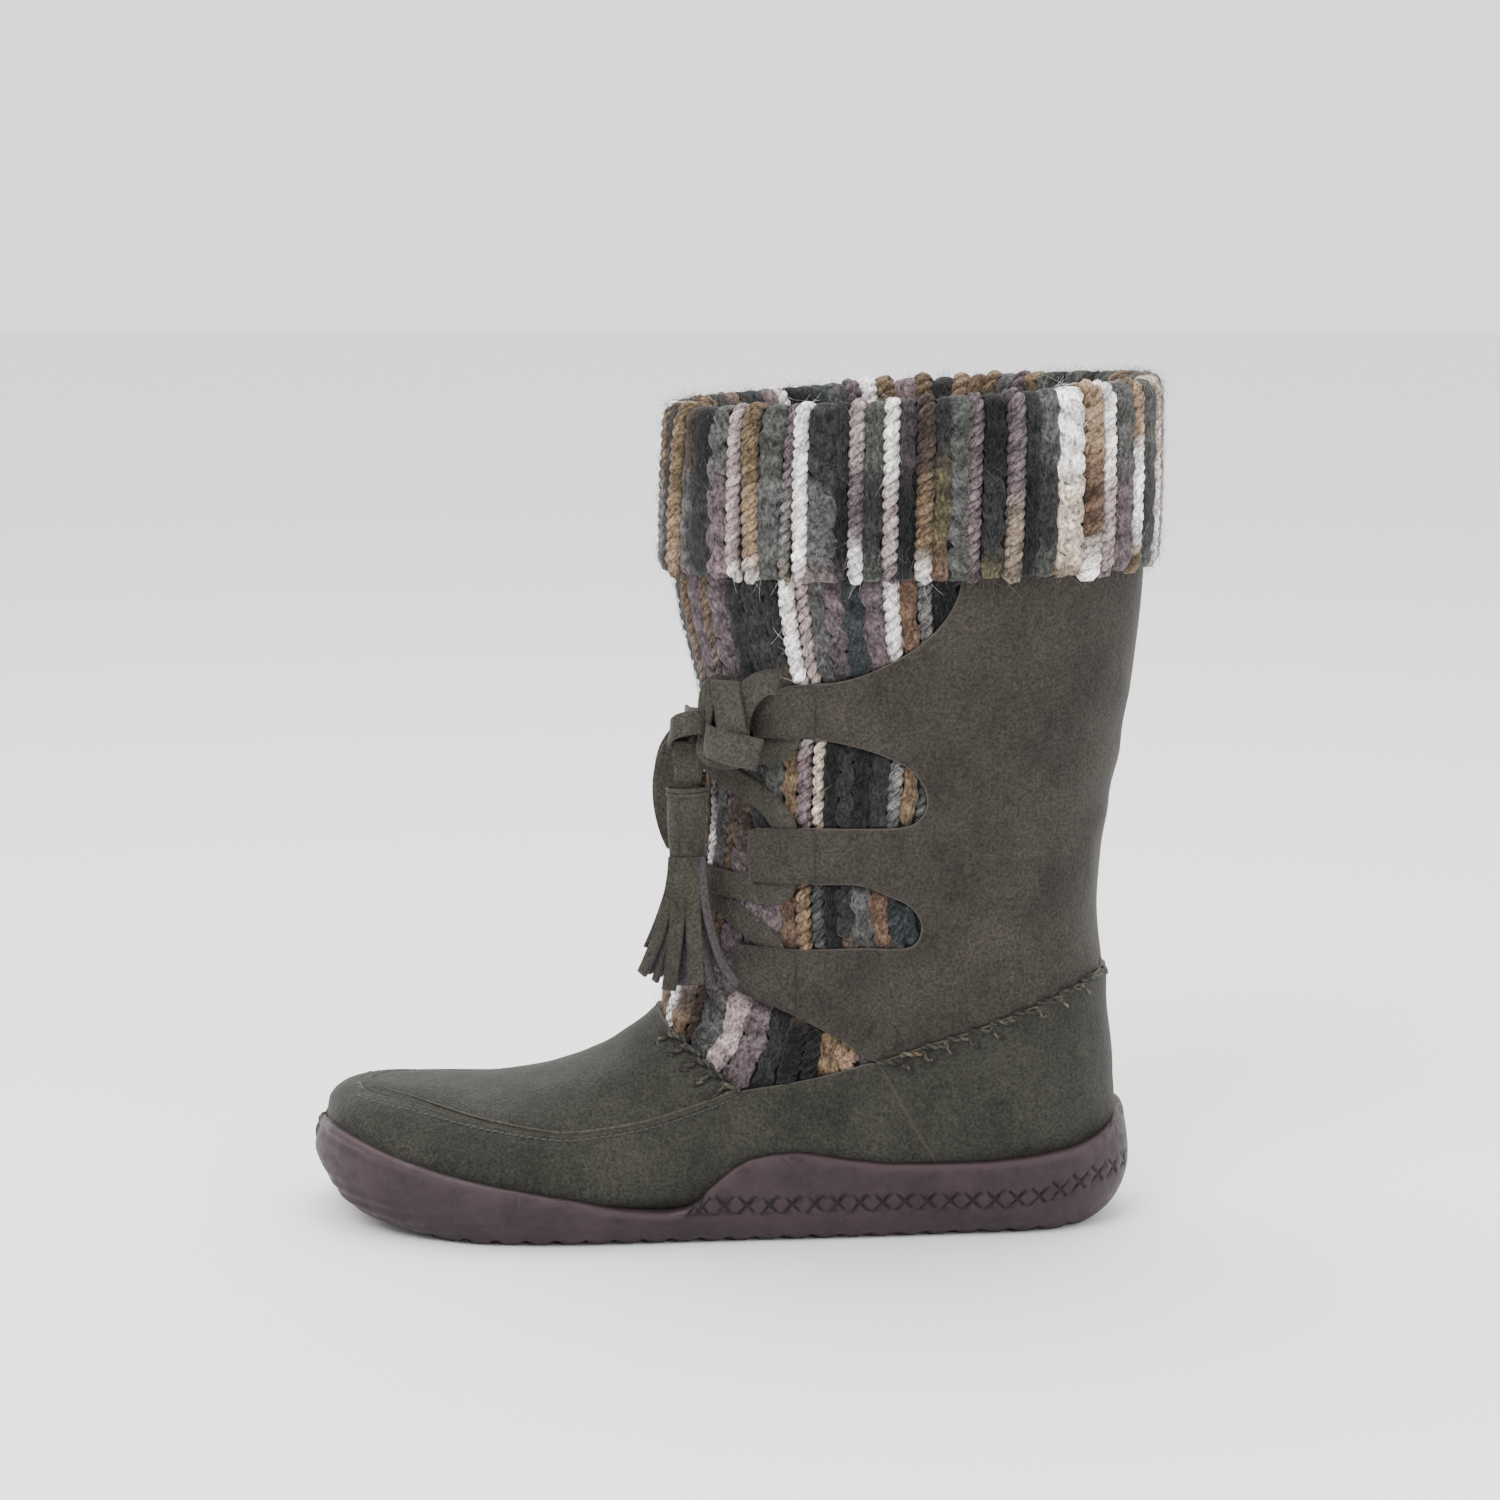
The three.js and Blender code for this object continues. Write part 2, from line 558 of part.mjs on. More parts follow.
function knot() {
  const [x, y, z] = KNOT;
  const lump = new THREE.SphereGeometry(0.5, 10, 7).scale(...KNOT_SIZE.map((v) => v * LUMP_GROWTH));
  const points = smooth(KNOT_BAND.map((p) => new THREE.Vector3(...p)), 3);
  const outwards = points.map((p) => new THREE.Vector3(p.x - 30, p.y * 1.6, 0).normalize());
  let part = solid(lump.translate(x, y, z)).add(band(points, outwards, flat(LACE_WIDTH, KNOT_BAND_THICK)));
  for (const tail of Object.values(TAILS)) {
    const base = tail.pivot + TAIL_HALF_WIDTH + TURN_GAP;
    const radius = TURN_SIZE[0] / 2;
    const turn = new THREE.CylinderGeometry(radius, radius / TURN_TAPER, TURN_SIZE[2], 10)
      .rotateX(Math.PI / 2).scale(1, TURN_SIZE[1] / TURN_SIZE[0], 1)
      .translate(TAIL_X, tail.y, base + TURN_SIZE[2] / 2);
    part = part.add(solid(turn));
  }
  return part;
}

function bowLoop(side) {
  const points = smooth(BOW_LOOPS[side.name].map((p) => new THREE.Vector3(...p)), 1);
  const middle = points.reduce((sum, p) => sum.add(p), new THREE.Vector3()).divideScalar(points.length);
  const outwards = points.map((p) => {
    const out = p.clone().sub(middle);
    return new THREE.Vector3(0, out.y, out.z * 0.3).normalize();
  });
  return band(points, outwards, rounded(LACE_WIDTH, LACE_THICK));
}

// The flat end of the lace below its turn; its round top lets it swing in place.
function tail(side) {
  const { y, pivot } = TAILS[side.name];
  const shape = new THREE.Shape();
  shape.moveTo(-TAIL_HALF_WIDTH, -TAIL_LENGTH);
  shape.lineTo(TAIL_HALF_WIDTH, -TAIL_LENGTH);
  shape.lineTo(TAIL_HALF_WIDTH, 0);
  shape.absarc(0, 0, TAIL_HALF_WIDTH, 0, Math.PI, false);
  const options = { depth: TAIL_THICK, bevelEnabled: false, curveSegments: 8 };
  const geometry = new THREE.ExtrudeGeometry(shape, options);
  geometry.rotateX(Math.PI / 2).translate(TAIL_X, y + TAIL_THICK / 2, pivot);
  return solid(geometry);
}

const tasselPivot = (name) => TAILS[name].pivot - TAIL_LENGTH - GAP - TASSEL_PROFILE[0][1];

function tassel(side) {
  const profile = TASSEL_PROFILE.map(([r, h]) => new THREE.Vector2(r, h)).reverse();
  const geometry = new THREE.LatheGeometry(profile, 12);
  geometry.rotateX(Math.PI / 2).scale(1, TASSEL_FLATTEN, 1);
  geometry.translate(TAIL_X, TAILS[side.name].y, tasselPivot(side.name));
  return solid(geometry);
}

// --- whip stitches that lie over a seam, as one zigzag thread ---

function stationOf(x, z) {
  let low = 0;
  let high = TOP;
  for (let i = 0; i < 40; i++) {
    const u = (low + high) / 2;
    const { front, back } = section(u, 0);
    const turn = (back.x - front.x) * (z - front.y) - (back.y - front.y) * (x - front.x);
    if (turn > 0) low = u;
    else high = u;
  }
  const u = (low + high) / 2;
  const { front, back, middle, powers } = section(u, 0);
  const here = new THREE.Vector2(x, z);
  const ahead = here.clone().sub(middle).dot(front.clone().sub(middle)) >= 0;
  const reach = here.distanceTo(middle) / middle.distanceTo(ahead ? front : back);
  const cos = Math.min(reach, 1) ** (powers[ahead ? 0 : 1] / 2) * (ahead ? 1 : -1);
  return { u, phi: Math.acos(cos) };
}

function alongLine(line, t) {
  const lengths = [0];
  for (let i = 1; i < line.length; i++) {
    lengths.push(lengths[i - 1] + Math.hypot(line[i][0] - line[i - 1][0], line[i][1] - line[i - 1][1]));
  }
  const want = t * lengths[lengths.length - 1];
  const i = Math.min(Math.max(lengths.findIndex((v) => v >= want), 1), line.length - 1);
  const s = (want - lengths[i - 1]) / (lengths[i] - lengths[i - 1]);
  const [a, b] = [line[i - 1], line[i]];
  const slope = Math.atan2(b[1] - a[1], b[0] - a[0]);
  return { x: a[0] + (b[0] - a[0]) * s, z: a[1] + (b[1] - a[1]) * s, slope };
}

function stitches(side, line, count, centre) {
  const points = [];
  const outwards = [];
  for (let i = 0; i < 2 * count; i++) {
    const at = alongLine(line, (i + 0.5) / (2 * count));
    const reach = centre + (i % 2 ? 1 : -1) * STITCH_REACH;
    const x = at.x - Math.sin(at.slope) * reach;
    const z = at.z + Math.cos(at.slope) * reach;
    const { u, phi } = stationOf(x, z);
    const out = outwardAt(u, phi * side.sign);
    const height = LEATHER[1] + THREAD_CLEARANCE + THREAD_RADIUS;
    points.push(pointOn(u, phi * side.sign, 0).addScaledVector(out, height));
    outwards.push(out);
  }
  const r = THREAD_RADIUS;
  return band(points, outwards, [[r, r], [-r, r], [-r, -r], [r, -r]]);
}

const foxingStitch = (side) => stitches(side, FOXING_TOP.slice(0, -1), FOXING_STITCHES, 0);
const throatStitch = (side) => stitches(side, THROAT.slice(0, -2), THROAT_STITCHES, THROAT_INSET);

for (const [name, make, material] of [
  ['outsole', outsole, rubber],
  ['shank', shank, steel],
  ['insole_board', insoleBoard, board],
  ['footbed', footbed, foam],
  ['heel_counter', heelCounter, stiffener],
  ['toe_puff', toePuff, stiffener],
  ['lining', lining, fleece],
  ['knit_sleeve', knitSleeve, wool],
  ['vamp_plug', vampPlug, footSuede],
  ['vamp_wall', vampWall, footSuede],
  ['heel_foxing', heelFoxing, footSuede],
]) add(name, make(), material);
for (const side of SIDES) {
  add(`quarter_${side.name}`, quarter(side), shaftSuede);
  add(`lace_${side.name}`, lace(side), laceSuede);
  add(`bow_loop_${side.name}`, bowLoop(side), laceSuede);
  add(`lace_tail_${side.name}`, tail(side), laceSuede);
  add(`tassel_${side.name}`, tassel(side), laceSuede);
  add(`foxing_stitch_${side.name}`, foxingStitch(side), thread);
  add(`throat_stitch_${side.name}`, throatStitch(side), thread);
}
add('lace_knot', knot(), laceSuede);

// The origin is on the ground, under the middle of the boot's outer box.
const extent = new THREE.Box3().setFromObject(boot);
boot.position.x = -(extent.min.x + extent.max.x) / 2;

export default boot;
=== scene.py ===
import math

import bmesh
import bpy
import numpy as np
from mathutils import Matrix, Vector, kdtree
from mathutils.geometry import delaunay_2d_cdt


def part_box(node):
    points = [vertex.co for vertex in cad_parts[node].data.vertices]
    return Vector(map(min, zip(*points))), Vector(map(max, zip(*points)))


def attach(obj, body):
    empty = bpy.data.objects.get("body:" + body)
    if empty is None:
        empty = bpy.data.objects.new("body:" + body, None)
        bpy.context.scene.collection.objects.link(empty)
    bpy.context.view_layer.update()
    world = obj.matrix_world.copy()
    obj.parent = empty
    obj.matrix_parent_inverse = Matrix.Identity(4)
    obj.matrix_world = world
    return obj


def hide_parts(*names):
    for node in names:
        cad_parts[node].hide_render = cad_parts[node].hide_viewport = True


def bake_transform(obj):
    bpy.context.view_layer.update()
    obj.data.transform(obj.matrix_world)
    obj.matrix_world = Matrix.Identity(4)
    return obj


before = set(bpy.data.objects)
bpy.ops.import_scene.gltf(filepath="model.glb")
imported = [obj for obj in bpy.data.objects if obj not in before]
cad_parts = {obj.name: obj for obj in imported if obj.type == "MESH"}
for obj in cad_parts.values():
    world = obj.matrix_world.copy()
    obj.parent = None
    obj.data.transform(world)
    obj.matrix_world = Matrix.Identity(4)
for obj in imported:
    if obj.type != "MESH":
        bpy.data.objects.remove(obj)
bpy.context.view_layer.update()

MM = 0.001
OUTSOLE_FRONT = -135.2  # the outsole's front end before part.mjs centres the boot
SHIFT_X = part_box("outsole")[0].x / MM - OUTSOLE_FRONT
rng = np.random.default_rng(12)


def metres(points):
    """Model millimetres to the row frame's metres."""
    points = np.asarray(points, float).reshape(-1, 3)
    return (points + [SHIFT_X, 0, 0]) * MM


def placed(name, data):
    """A new object in the scene."""
    made = bpy.data.objects.new(name, data)
    bpy.context.scene.collection.objects.link(made)
    return made


def settle(made, node=None, body="boot"):
    """Says which body a piece rides on, and which CAD node it stands for."""
    if body:
        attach(made, body)
    if node:
        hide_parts(node)


# ---------------------------------------------------------------------------
# Camera
# ---------------------------------------------------------------------------

CAMERA_AT = (9.92, -1100, 343.5)
CAMERA_DOWN = 9.773  # degrees below level
LENS, SENSOR = 81.93, 36


def make_camera():
    data = bpy.data.cameras.new("camera")
    data.lens = LENS
    data.sensor_width = SENSOR
    data.clip_start = 0.05
    data.dof.use_dof = False
    camera = placed("camera", data)
    camera.location = metres(CAMERA_AT)[0]
    camera.rotation_euler = (math.radians(90 - CAMERA_DOWN), 0, 0)
    bpy.context.scene.camera = camera


# ---------------------------------------------------------------------------
# Materials
# ---------------------------------------------------------------------------


def linear(rgb):
    """An sRGB colour in 0..255 as a linear RGBA colour."""
    c = np.array(rgb, float) / 255
    low, high = c / 12.92, ((c + 0.055) / 1.055) ** 2.4
    return tuple(np.where(c <= 0.04045, low, high)) + (1.0,)


class Nodes:
    """Adds shader nodes to a node tree."""

    def __init__(self, tree):
        self.tree = tree

    def node(self, kind, **inputs):
        made = self.tree.nodes.new("ShaderNode" + kind)
        for name, value in inputs.items():
            self.feed(made.inputs[name.replace("_", " ")], value)
        return made

    def feed(self, socket, value):
        if isinstance(value, bpy.types.NodeSocket):
            self.tree.links.new(value, socket)
        else:
            socket.default_value = value

    def remap(self, value, low, high, to_low=0.0, to_high=1.0):
        made = self.node("MapRange", Value=value)
        ends = {"From Min": low, "From Max": high, "To Min": to_low, "To Max": to_high}
        for name, number in ends.items():
            made.inputs[name].default_value = number
        return made.outputs["Result"]

    def maths(self, operation, first, second=0.5):
        made = self.tree.nodes.new("ShaderNodeMath")
        made.operation = operation
        self.feed(made.inputs[0], first)
        self.feed(made.inputs[1], second)
        return made.outputs[0]


class Finish(Nodes):
    """A procedural material around one Principled shader."""

    def __init__(self, name, **sockets):
        self.material = bpy.data.materials.new(name)
        self.material.use_nodes = True
        super().__init__(self.material.node_tree)
        self.shader = self.tree.nodes["Principled BSDF"]
        for socket, value in sockets.items():
            self.shader.inputs[socket.replace("_", " ")].default_value = value
        self.place = self.tree.nodes.new("ShaderNodeTexCoord").outputs["Object"]

    def noise(self, scale, detail=2.0, stretch=None, place=None, rough=0.6):
        where = place or self.place
        if stretch:
            mapped = self.node("Mapping", Vector=where)
            mapped.inputs["Scale"].default_value = stretch
            where = mapped.outputs["Vector"]
        made = self.node("TexNoise", Vector=where, Scale=scale, Detail=detail, Roughness=rough)
        return made.outputs["Fac"]

    def attribute(self, name, output="Fac"):
        made = self.tree.nodes.new("ShaderNodeAttribute")
        made.attribute_name = name
        return made.outputs[output]

    def mix(self, factor, first, second, mode="MIX"):
        made = self.tree.nodes.new("ShaderNodeMix")
        made.data_type = "RGBA"
        made.blend_type = mode
        self.feed(made.inputs[0], factor)
        self.feed(made.inputs[6], first)
        self.feed(made.inputs[7], second)
        return made.outputs[2]

    def bump(self, height, distance, strength=1.0, below=None):
        made = self.node("Bump", Height=height, Strength=strength, Distance=distance)
        if below is not None:
            self.tree.links.new(below, made.inputs["Normal"])
        return made.outputs["Normal"]

    def colour(self, value):
        self.feed(self.shader.inputs["Base Color"], value)

    def normal(self, value):
        self.feed(self.shader.inputs["Normal"], value)


def suede(name, dark, light, edge_wear_and_highlight):
    """Brushed suede: nap that lies both ways in patches, a fine grain and paler cut edges, partly
    the raw edge's own colour and partly a painted edge highlight.
    """
    m = Finish(
        name, Roughness=0.95, Sheen_Weight=0.12, Sheen_Roughness=0.45, Specular_IOR_Level=0.12
    )
    patches = m.remap(m.noise(38, 4.0), 0.36, 0.66)
    streaks = m.remap(m.noise(300, 3.0, stretch=(1, 1, 0.35)), 0.3, 0.7)
    grain = m.remap(m.noise(1050, 2.0), 0.3, 0.7)
    shade = m.mix(m.maths("MULTIPLY", patches, 0.62), linear(dark), linear(light))
    shade = m.mix(m.maths("MULTIPLY", streaks, 0.3), shade, linear(light))
    shade = m.mix(0.7, shade, m.mix(grain, (0.4, 0.4, 0.4, 1), (1.7, 1.7, 1.66, 1)), "MULTIPLY")
    # Paler near cut edges: the raw edge's colour together with a painted edge highlight.
    shade = m.mix(m.attribute("wear_and_highlight"), shade, linear(edge_wear_and_highlight))
    m.colour(shade)
    pile = m.bump(m.noise(1100, 3.0), 0.0005, 0.6)
    m.normal(m.bump(m.noise(160, 3.0), 0.0007, 0.25, pile))
    return m.material


def yarn_wool(name):
    """Wool whose colour is stored on each yarn, with fibres along it."""
    m = Finish(
        name, Roughness=1.0, Sheen_Weight=0.12, Sheen_Roughness=0.5, Specular_IOR_Level=0.1
    )
    along = m.attribute("yarn_place", "Vector")
    fibres = m.noise(1.0, 3.0, stretch=(15.0, 0.34, 1.0), place=along, rough=0.7)
    flecks = m.noise(850, 3.0)
    shade = m.mix(m.remap(fibres, 0.33, 0.67), (0.34, 0.34, 0.35, 1), (1.5, 1.5, 1.5, 1))
    # The tint attribute carries each yarn's colour and, on ropes and whip stitches, painted shade
    # where a ply turns under.
    shade = m.mix(1.0, m.attribute("tint", "Color"), shade, "MULTIPLY")
    heather = m.mix(m.remap(flecks, 0.34, 0.66), (0.36, 0.36, 0.38, 1), (1.62, 1.6, 1.58, 1))
    m.colour(m.mix(0.85, shade, heather, "MULTIPLY"))
    m.normal(m.bump(flecks, 0.0005, 0.7, m.bump(fibres, 0.0006, 0.9)))
    return m.material


def plain_wool(name, dark, light):
    """Felted wool or pile of one colour."""
    m = Finish(name, Roughness=1.0, Sheen_Weight=0.3, Specular_IOR_Level=0.1)
    grain = m.noise(900, 4.0)
    shade = m.mix(m.remap(m.noise(140, 3.0), 0.35, 0.65), linear(dark), linear(light))
    contrast = m.mix(m.remap(grain, 0.3, 0.7), (0.4, 0.4, 0.4, 1), (1.5, 1.5, 1.5, 1))
    m.colour(m.mix(0.6, shade, contrast, "MULTIPLY"))
    m.normal(m.bump(grain, 0.0012, 0.8))
    return m.material


def moulded_rubber(name):
    """Matte rubber: mottled, with fine specks, a painted highlight along the beaded top edge and
    painted shade in the grooves.
    """
    m = Finish(name, Roughness=0.55, Specular_IOR_Level=0.32)
    mottle = m.remap(m.noise(55, 4.0), 0.35, 0.66)
    shade = m.mix(mottle, linear((37, 25, 29)), linear((51, 37, 41)))
    specks = m.remap(m.noise(1200, 2.0), 0.4, 0.75)
    shade = m.mix(m.maths("MULTIPLY", specks, 0.25), shade, linear((72, 56, 60)))
    # Painted highlight: paler along the bead of the sole's top edge.
    shade = m.mix(m.attribute("wear_and_highlight"), shade, linear((64, 49, 53)))
    # Painted shade: darker colour in the X marks' grooves.
    shade = m.mix(m.attribute("groove_and_shade"), shade, linear((24, 13, 17)))
    m.colour(shade)
    m.feed(m.shader.inputs["Roughness"], m.remap(m.noise(300, 3.0), 0.3, 0.7, 0.46, 0.68))
    m.normal(m.bump(m.noise(700, 3.0), 0.0003, 0.35, m.bump(m.noise(90, 3.0), 0.0006, 0.35)))
    return m.material


def twisted_thread(name, dark, light):
    """Sewing thread, with its plies along it."""
    m = Finish(name, Roughness=0.8, Sheen_Weight=0.2)
    along = m.attribute("yarn_place", "Vector")
    plies = m.noise(1.0, 2.0, stretch=(5.0, 3.0, 1.0), place=along)
    m.colour(m.mix(m.remap(plies, 0.35, 0.65), linear(dark), linear(light)))
    m.normal(m.bump(plies, 0.0003, 0.9))
    return m.material


def grainy(name, dark, light, scale, rough=0.8, metallic=0.0, stretch=None, depth=0.0004):
    """Mottled, finely rough finishes for the pieces inside the boot."""
    m = Finish(name, Roughness=rough, Metallic=metallic)
    grain = m.noise(scale, 4.0, stretch=stretch)
    m.colour(m.mix(m.remap(grain, 0.33, 0.67), linear(dark), linear(light)))
    m.normal(m.bump(grain, depth, 0.5))
    return m.material


def woven_cloth(name, dark, light):
    """Footbed top cloth: a plain weave of two crossing sets of threads."""
    m = Finish(name, Roughness=0.95, Sheen_Weight=0.2)
    waves = []
    for direction in ("X", "Y"):
        wave = m.tree.nodes.new("ShaderNodeTexWave")
        wave.bands_direction = direction
        m.feed(wave.inputs["Vector"], m.place)
        wave.inputs["Scale"].default_value = 260
        wave.inputs["Distortion"].default_value = 0.6
        waves.append(wave.outputs["Fac"])
    weave = m.maths("MULTIPLY", waves[0], waves[1])
    m.colour(m.mix(m.remap(weave, 0.05, 0.7), linear(dark), linear(light)))
    m.normal(m.bump(weave, 0.0004, 0.6))
    return m.material


FOOT_SUEDE = suede("foot_suede", (38, 38, 34), (60, 59, 54), (88, 86, 76))
SHAFT_SUEDE = suede("shaft_suede", (42, 39, 36), (63, 59, 54), (90, 84, 76))
LACE_SUEDE = suede("lace_suede", (46, 44, 39), (70, 67, 61), (90, 86, 77))
FRINGE_BACK = suede("fringe_back", (56, 51, 54), (80, 74, 77), (86, 80, 80))
# A paler copy of the foot suede for the moc seam's rolled edge: painted highlight.
RIDGE_SUEDE_HIGHLIT = suede("ridge_suede_highlight", (52, 51, 46), (74, 72, 66), (80, 78, 70))
WOOL = yarn_wool("wool")
WOOL_BASE = plain_wool("wool_base", (14, 14, 15), (34, 33, 34))
RUBBER = moulded_rubber("rubber")
THREAD_LIGHT = twisted_thread("thread_light", (44, 42, 36), (66, 62, 54))
THREAD_WOOL = yarn_wool("thread_wool")
# Near-black discs at the stitch holes: painted shade in the holes.
HOLE_SHADE = grainy("stitch_hole_shade", (18, 17, 14), (30, 28, 24), 300, 0.95)
FLEECE = plain_wool("fleece", (104, 98, 88), (150, 143, 130))
CLOTH = woven_cloth("cloth", (112, 104, 90), (168, 160, 142))
BOARD = grainy("board", (140, 108, 70), (176, 142, 98), 240, 0.85)
STIFFENER = grainy("stiffener", (196, 188, 172), (222, 216, 202), 500, 0.6)
STEEL = grainy("steel", (120, 122, 126), (178, 180, 184), 300, 0.35, 1.0, (1, 30, 30), 0.0001)


# ---------------------------------------------------------------------------
# The form that part.mjs is built on
# ---------------------------------------------------------------------------

#   frontX  frontZ   backX  backZ  half  widest front back lean
STATIONS = np.array([
    [-129.5, 44.0, -129.5, 13.5, 26.0, 0.62, 2.3, 3.2, 5.0],
    [-117.0, 41.4, -117.0, 11.0, 33.0, 0.64, 2.3, 3.4, 4.5],
    [-99.0, 40.3, -99.0, 9.0, 40.0, 0.66, 2.2, 3.6, 3.0],
    [-78.0, 41.1, -78.0, 8.0, 44.5, 0.68, 2.1, 3.8, 1.0],
    [-58.0, 45.0, -56.0, 8.0, 45.0, 0.70, 2.0, 3.8, -0.5],
    [-41.0, 51.8, -32.0, 8.0, 43.0, 0.70, 2.0, 3.8, -1.5],
    [-29.5, 58.8, -4.0, 8.0, 40.0, 0.68, 2.0, 3.6, -2.0],
    [-22.0, 65.0, 30.0, 8.0, 37.5, 0.65, 2.0, 3.4, -2.0],
    [-18.5, 71.5, 70.0, 8.0, 35.5, 0.62, 2.0, 3.2, -1.5],
    [-16.0, 79.0, 108.0, 8.5, 35.0, 0.60, 2.0, 3.0, -1.0],
    [-13.0, 87.0, 127.5, 23.0, 35.0, 0.58, 2.0, 2.7, -0.5],
    [-10.0, 96.0, 128.2, 48.0, 35.5, 0.56, 2.0, 2.5, 0],
    [-7.0, 106.5, 125.0, 76.0, 37.0, 0.54, 2.05, 2.35, 0],
    [-4.2, 119.0, 122.0, 104.0, 39.0, 0.52, 2.1, 2.25, 0],
    [-2.6, 136.0, 124.3, 131.0, 41.0, 0.50, 2.15, 2.2, 0],
    [-2.6, 155.0, 128.2, 156.0, 42.5, 0.50, 2.2, 2.2, 0],
    [-4.5, 174.0, 131.6, 176.0, 43.5, 0.50, 2.2, 2.2, 0],
    [-9.0, 192.0, 133.8, 194.0, 44.5, 0.50, 2.2, 2.2, 0],
    [-12.5, 211.0, 135.2, 213.0, 45.5, 0.50, 2.2, 2.2, 0],
    [-13.0, 237.0, 136.2, 240.0, 46.0, 0.50, 2.2, 2.2, 0],
    [-12.0, 261.0, 136.0, 270.0, 46.0, 0.50, 2.2, 2.2, 0],
])
TOP = len(STATIONS) - 1
NOSE = 2.0  # the toe rounds off over the first two stations

# The sole's bottom line at the same stations: x, z, squareness.
SOLE_BOTTOM = np.array([
    [-130.3, 21.0, 4.0], [-119.5, 6.6, 4.5], [-103.0, 0.6, 5.0], [-80.0, -3.0, 5.0],
    [-57.0, -3.0, 5.0], [-31.0, -3.0, 5.0], [-1.0, -3.0, 5.0], [38.0, -3.0, 4.8],
    [81.0, -3.0, 4.2], [119.0, -1.6, 3.3], [134.8, 14.5, 2.7], [132.0, 46.0, 2.6],
])
TOE_LIP = 30.2  # height of the sole's top edge at the very front

# The sole's top edge in the side view: x, z.
SOLE_TOP = np.array([
    [-145, TOE_LIP], [-134.5, TOE_LIP], [-132.5, 31.1], [-130, 32.1], [-127, 32.3], [-121, 31.2],
    [-104.5, 26.9], [-89.4, 23.4], [-74.5, 20.7], [-58.6, 18.2], [-45, 15.8], [-35, 13.3],
    [-25.5, 12.0], [-16.6, 11.2], [-10, 12.5], [-6.2, 15.2], [-3.5, 18.6], [0, 21.6], [4, 25.0],
    [10, 28.2], [17, 29.6], [26, 30.0], [33, 28.9], [42, 27.3], [56, 25.7], [85, 25.9],
    [99, 26.9], [114, 28.7], [121, 30.6], [128, 34.0], [145, 37],
])

# How far the layers lie outside the form.
LEATHER = (0.3, 1.8)
SOLE_INSIDE = 2.1
SOLE_OUTSIDE = 4.9

NOSE_ROUNDNESS = 2.2
NOSE_HEIGHT, NOSE_WIDTH = 0.42, 0.12  # of the full section, at the blunt end of the toe
TIP_DOME = 1.1


def column(table, u, k):
    """Column k of a table at stations u, on a smooth curve through the rows."""
    rows = table[:, k]
    last = len(rows) - 1
    i = np.clip(np.floor(u).astype(int), 0, last - 1)
    t = u - i
    a, b = rows[i], rows[i + 1]
    slope_a = (b - rows[np.maximum(i - 1, 0)]) / np.where(i > 0, 2, 1)
    slope_b = (rows[np.minimum(i + 2, last)] - a) / np.where(i + 1 < last, 2, 1)
    return (
        (2 * t**3 - 3 * t**2 + 1) * a + (t**3 - 2 * t**2 + t) * slope_a
        + (3 * t**2 - 2 * t**3) * b + (t**3 - t**2) * slope_b
    )


def section(u, off, sole=False):
    """The section at each station: front, back and middle points, half width, squareness in front
    and behind, lean, and how far the nose stands forward."""
    c = [column(STATIONS, u, k) for k in range(9)]
    front = np.stack([c[0], c[1]], -1)
    back = np.stack([c[2], c[3]], -1)
    middle = front + (back - front) * c[5][:, None]
    along = back - front
    along /= np.linalg.norm(along, axis=1)[:, None]
    off = np.broadcast_to(off, u.shape)
    front = front - along * off[:, None]
    if sole:
        back = np.stack([column(SOLE_BOTTOM, u, 0), column(SOLE_BOTTOM, u, 1)], -1)
    else:
        back = back + along * off[:, None]
    power_back = column(SOLE_BOTTOM, u, 2) if sole else c[7]
    q = np.maximum(0, 1 - u / NOSE)
    rounding = (1 - q**NOSE_ROUNDNESS) ** (1 / NOSE_ROUNDNESS)
    tall = (NOSE_HEIGHT + (1 - NOSE_HEIGHT) * rounding)[:, None]
    half = (c[4] + off) * (NOSE_WIDTH + (1 - NOSE_WIDTH) * rounding)
    front = middle + (front - middle) * tall
    if not sole:
        back = middle + (back - middle) * tall
    return front, back, middle, half, (c[6], power_back), c[8], -off * q


def on_form(u, phi, off, sole=False):
    """Points of the form in millimetres. phi runs round from the front, positive on the near side.
    Below station 0 the toe's blunt end closes to one point with a slight dome."""
    u, phi, off = (np.asarray(v, float) for v in np.broadcast_arrays(u, phi, off))
    shape = u.shape
    u, phi, off = u.ravel(), phi.ravel(), off.ravel()
    closing = np.clip(-u, 0, 1)
    front, back, middle, half, powers, lean, nose = section(np.maximum(u, 0), off, sole)
    cos, sin = np.cos(phi), np.sin(phi)
    ahead = cos >= 0
    target = np.where(ahead[:, None], front, back)
    power = np.where(ahead, powers[0], powers[1])
    p = middle + (target - middle) * (np.abs(cos) ** (2 / power))[:, None]
    side = np.abs(sin) ** (2 / power) * np.sign(sin)
    points = np.stack([p[:, 0] + nose, lean - side * half, p[:, 1]], -1)
    hub = np.stack([middle[:, 0] + nose, lean, middle[:, 1]], -1)
    if sole:
        hub[:, 2] = TOE_LIP
    points += (hub - points) * closing[:, None]
    points[:, 0] -= TIP_DOME * (1 - (1 - closing) ** 2)
    return points.reshape(shape + (3,))


def frames(u, phi, off=0.0, sole=False):
    """Steps of the surface along u and phi, and its outward normal."""
    d = 0.01
    above = on_form(np.minimum(u + d, TOP), phi, off, sole)
    along_u = (above - on_form(u - d, phi, off, sole)) / (2 * d)
    along_phi = (on_form(u, phi + d, off, sole) - on_form(u, phi - d, off, sole)) / (2 * d)
    out = np.cross(along_phi, along_u)
    out /= np.linalg.norm(out, axis=-1)[..., None] + 1e-12
    return along_u, along_phi, out


def halved(low, high, steps, past):
    """Narrows down by halving where `past` turns true between low and high."""
    for _ in range(steps):
        middle = (low + high) / 2
        over = past(middle)
        low, high = np.where(over, low, middle), np.where(over, middle, high)
    return (low + high) / 2


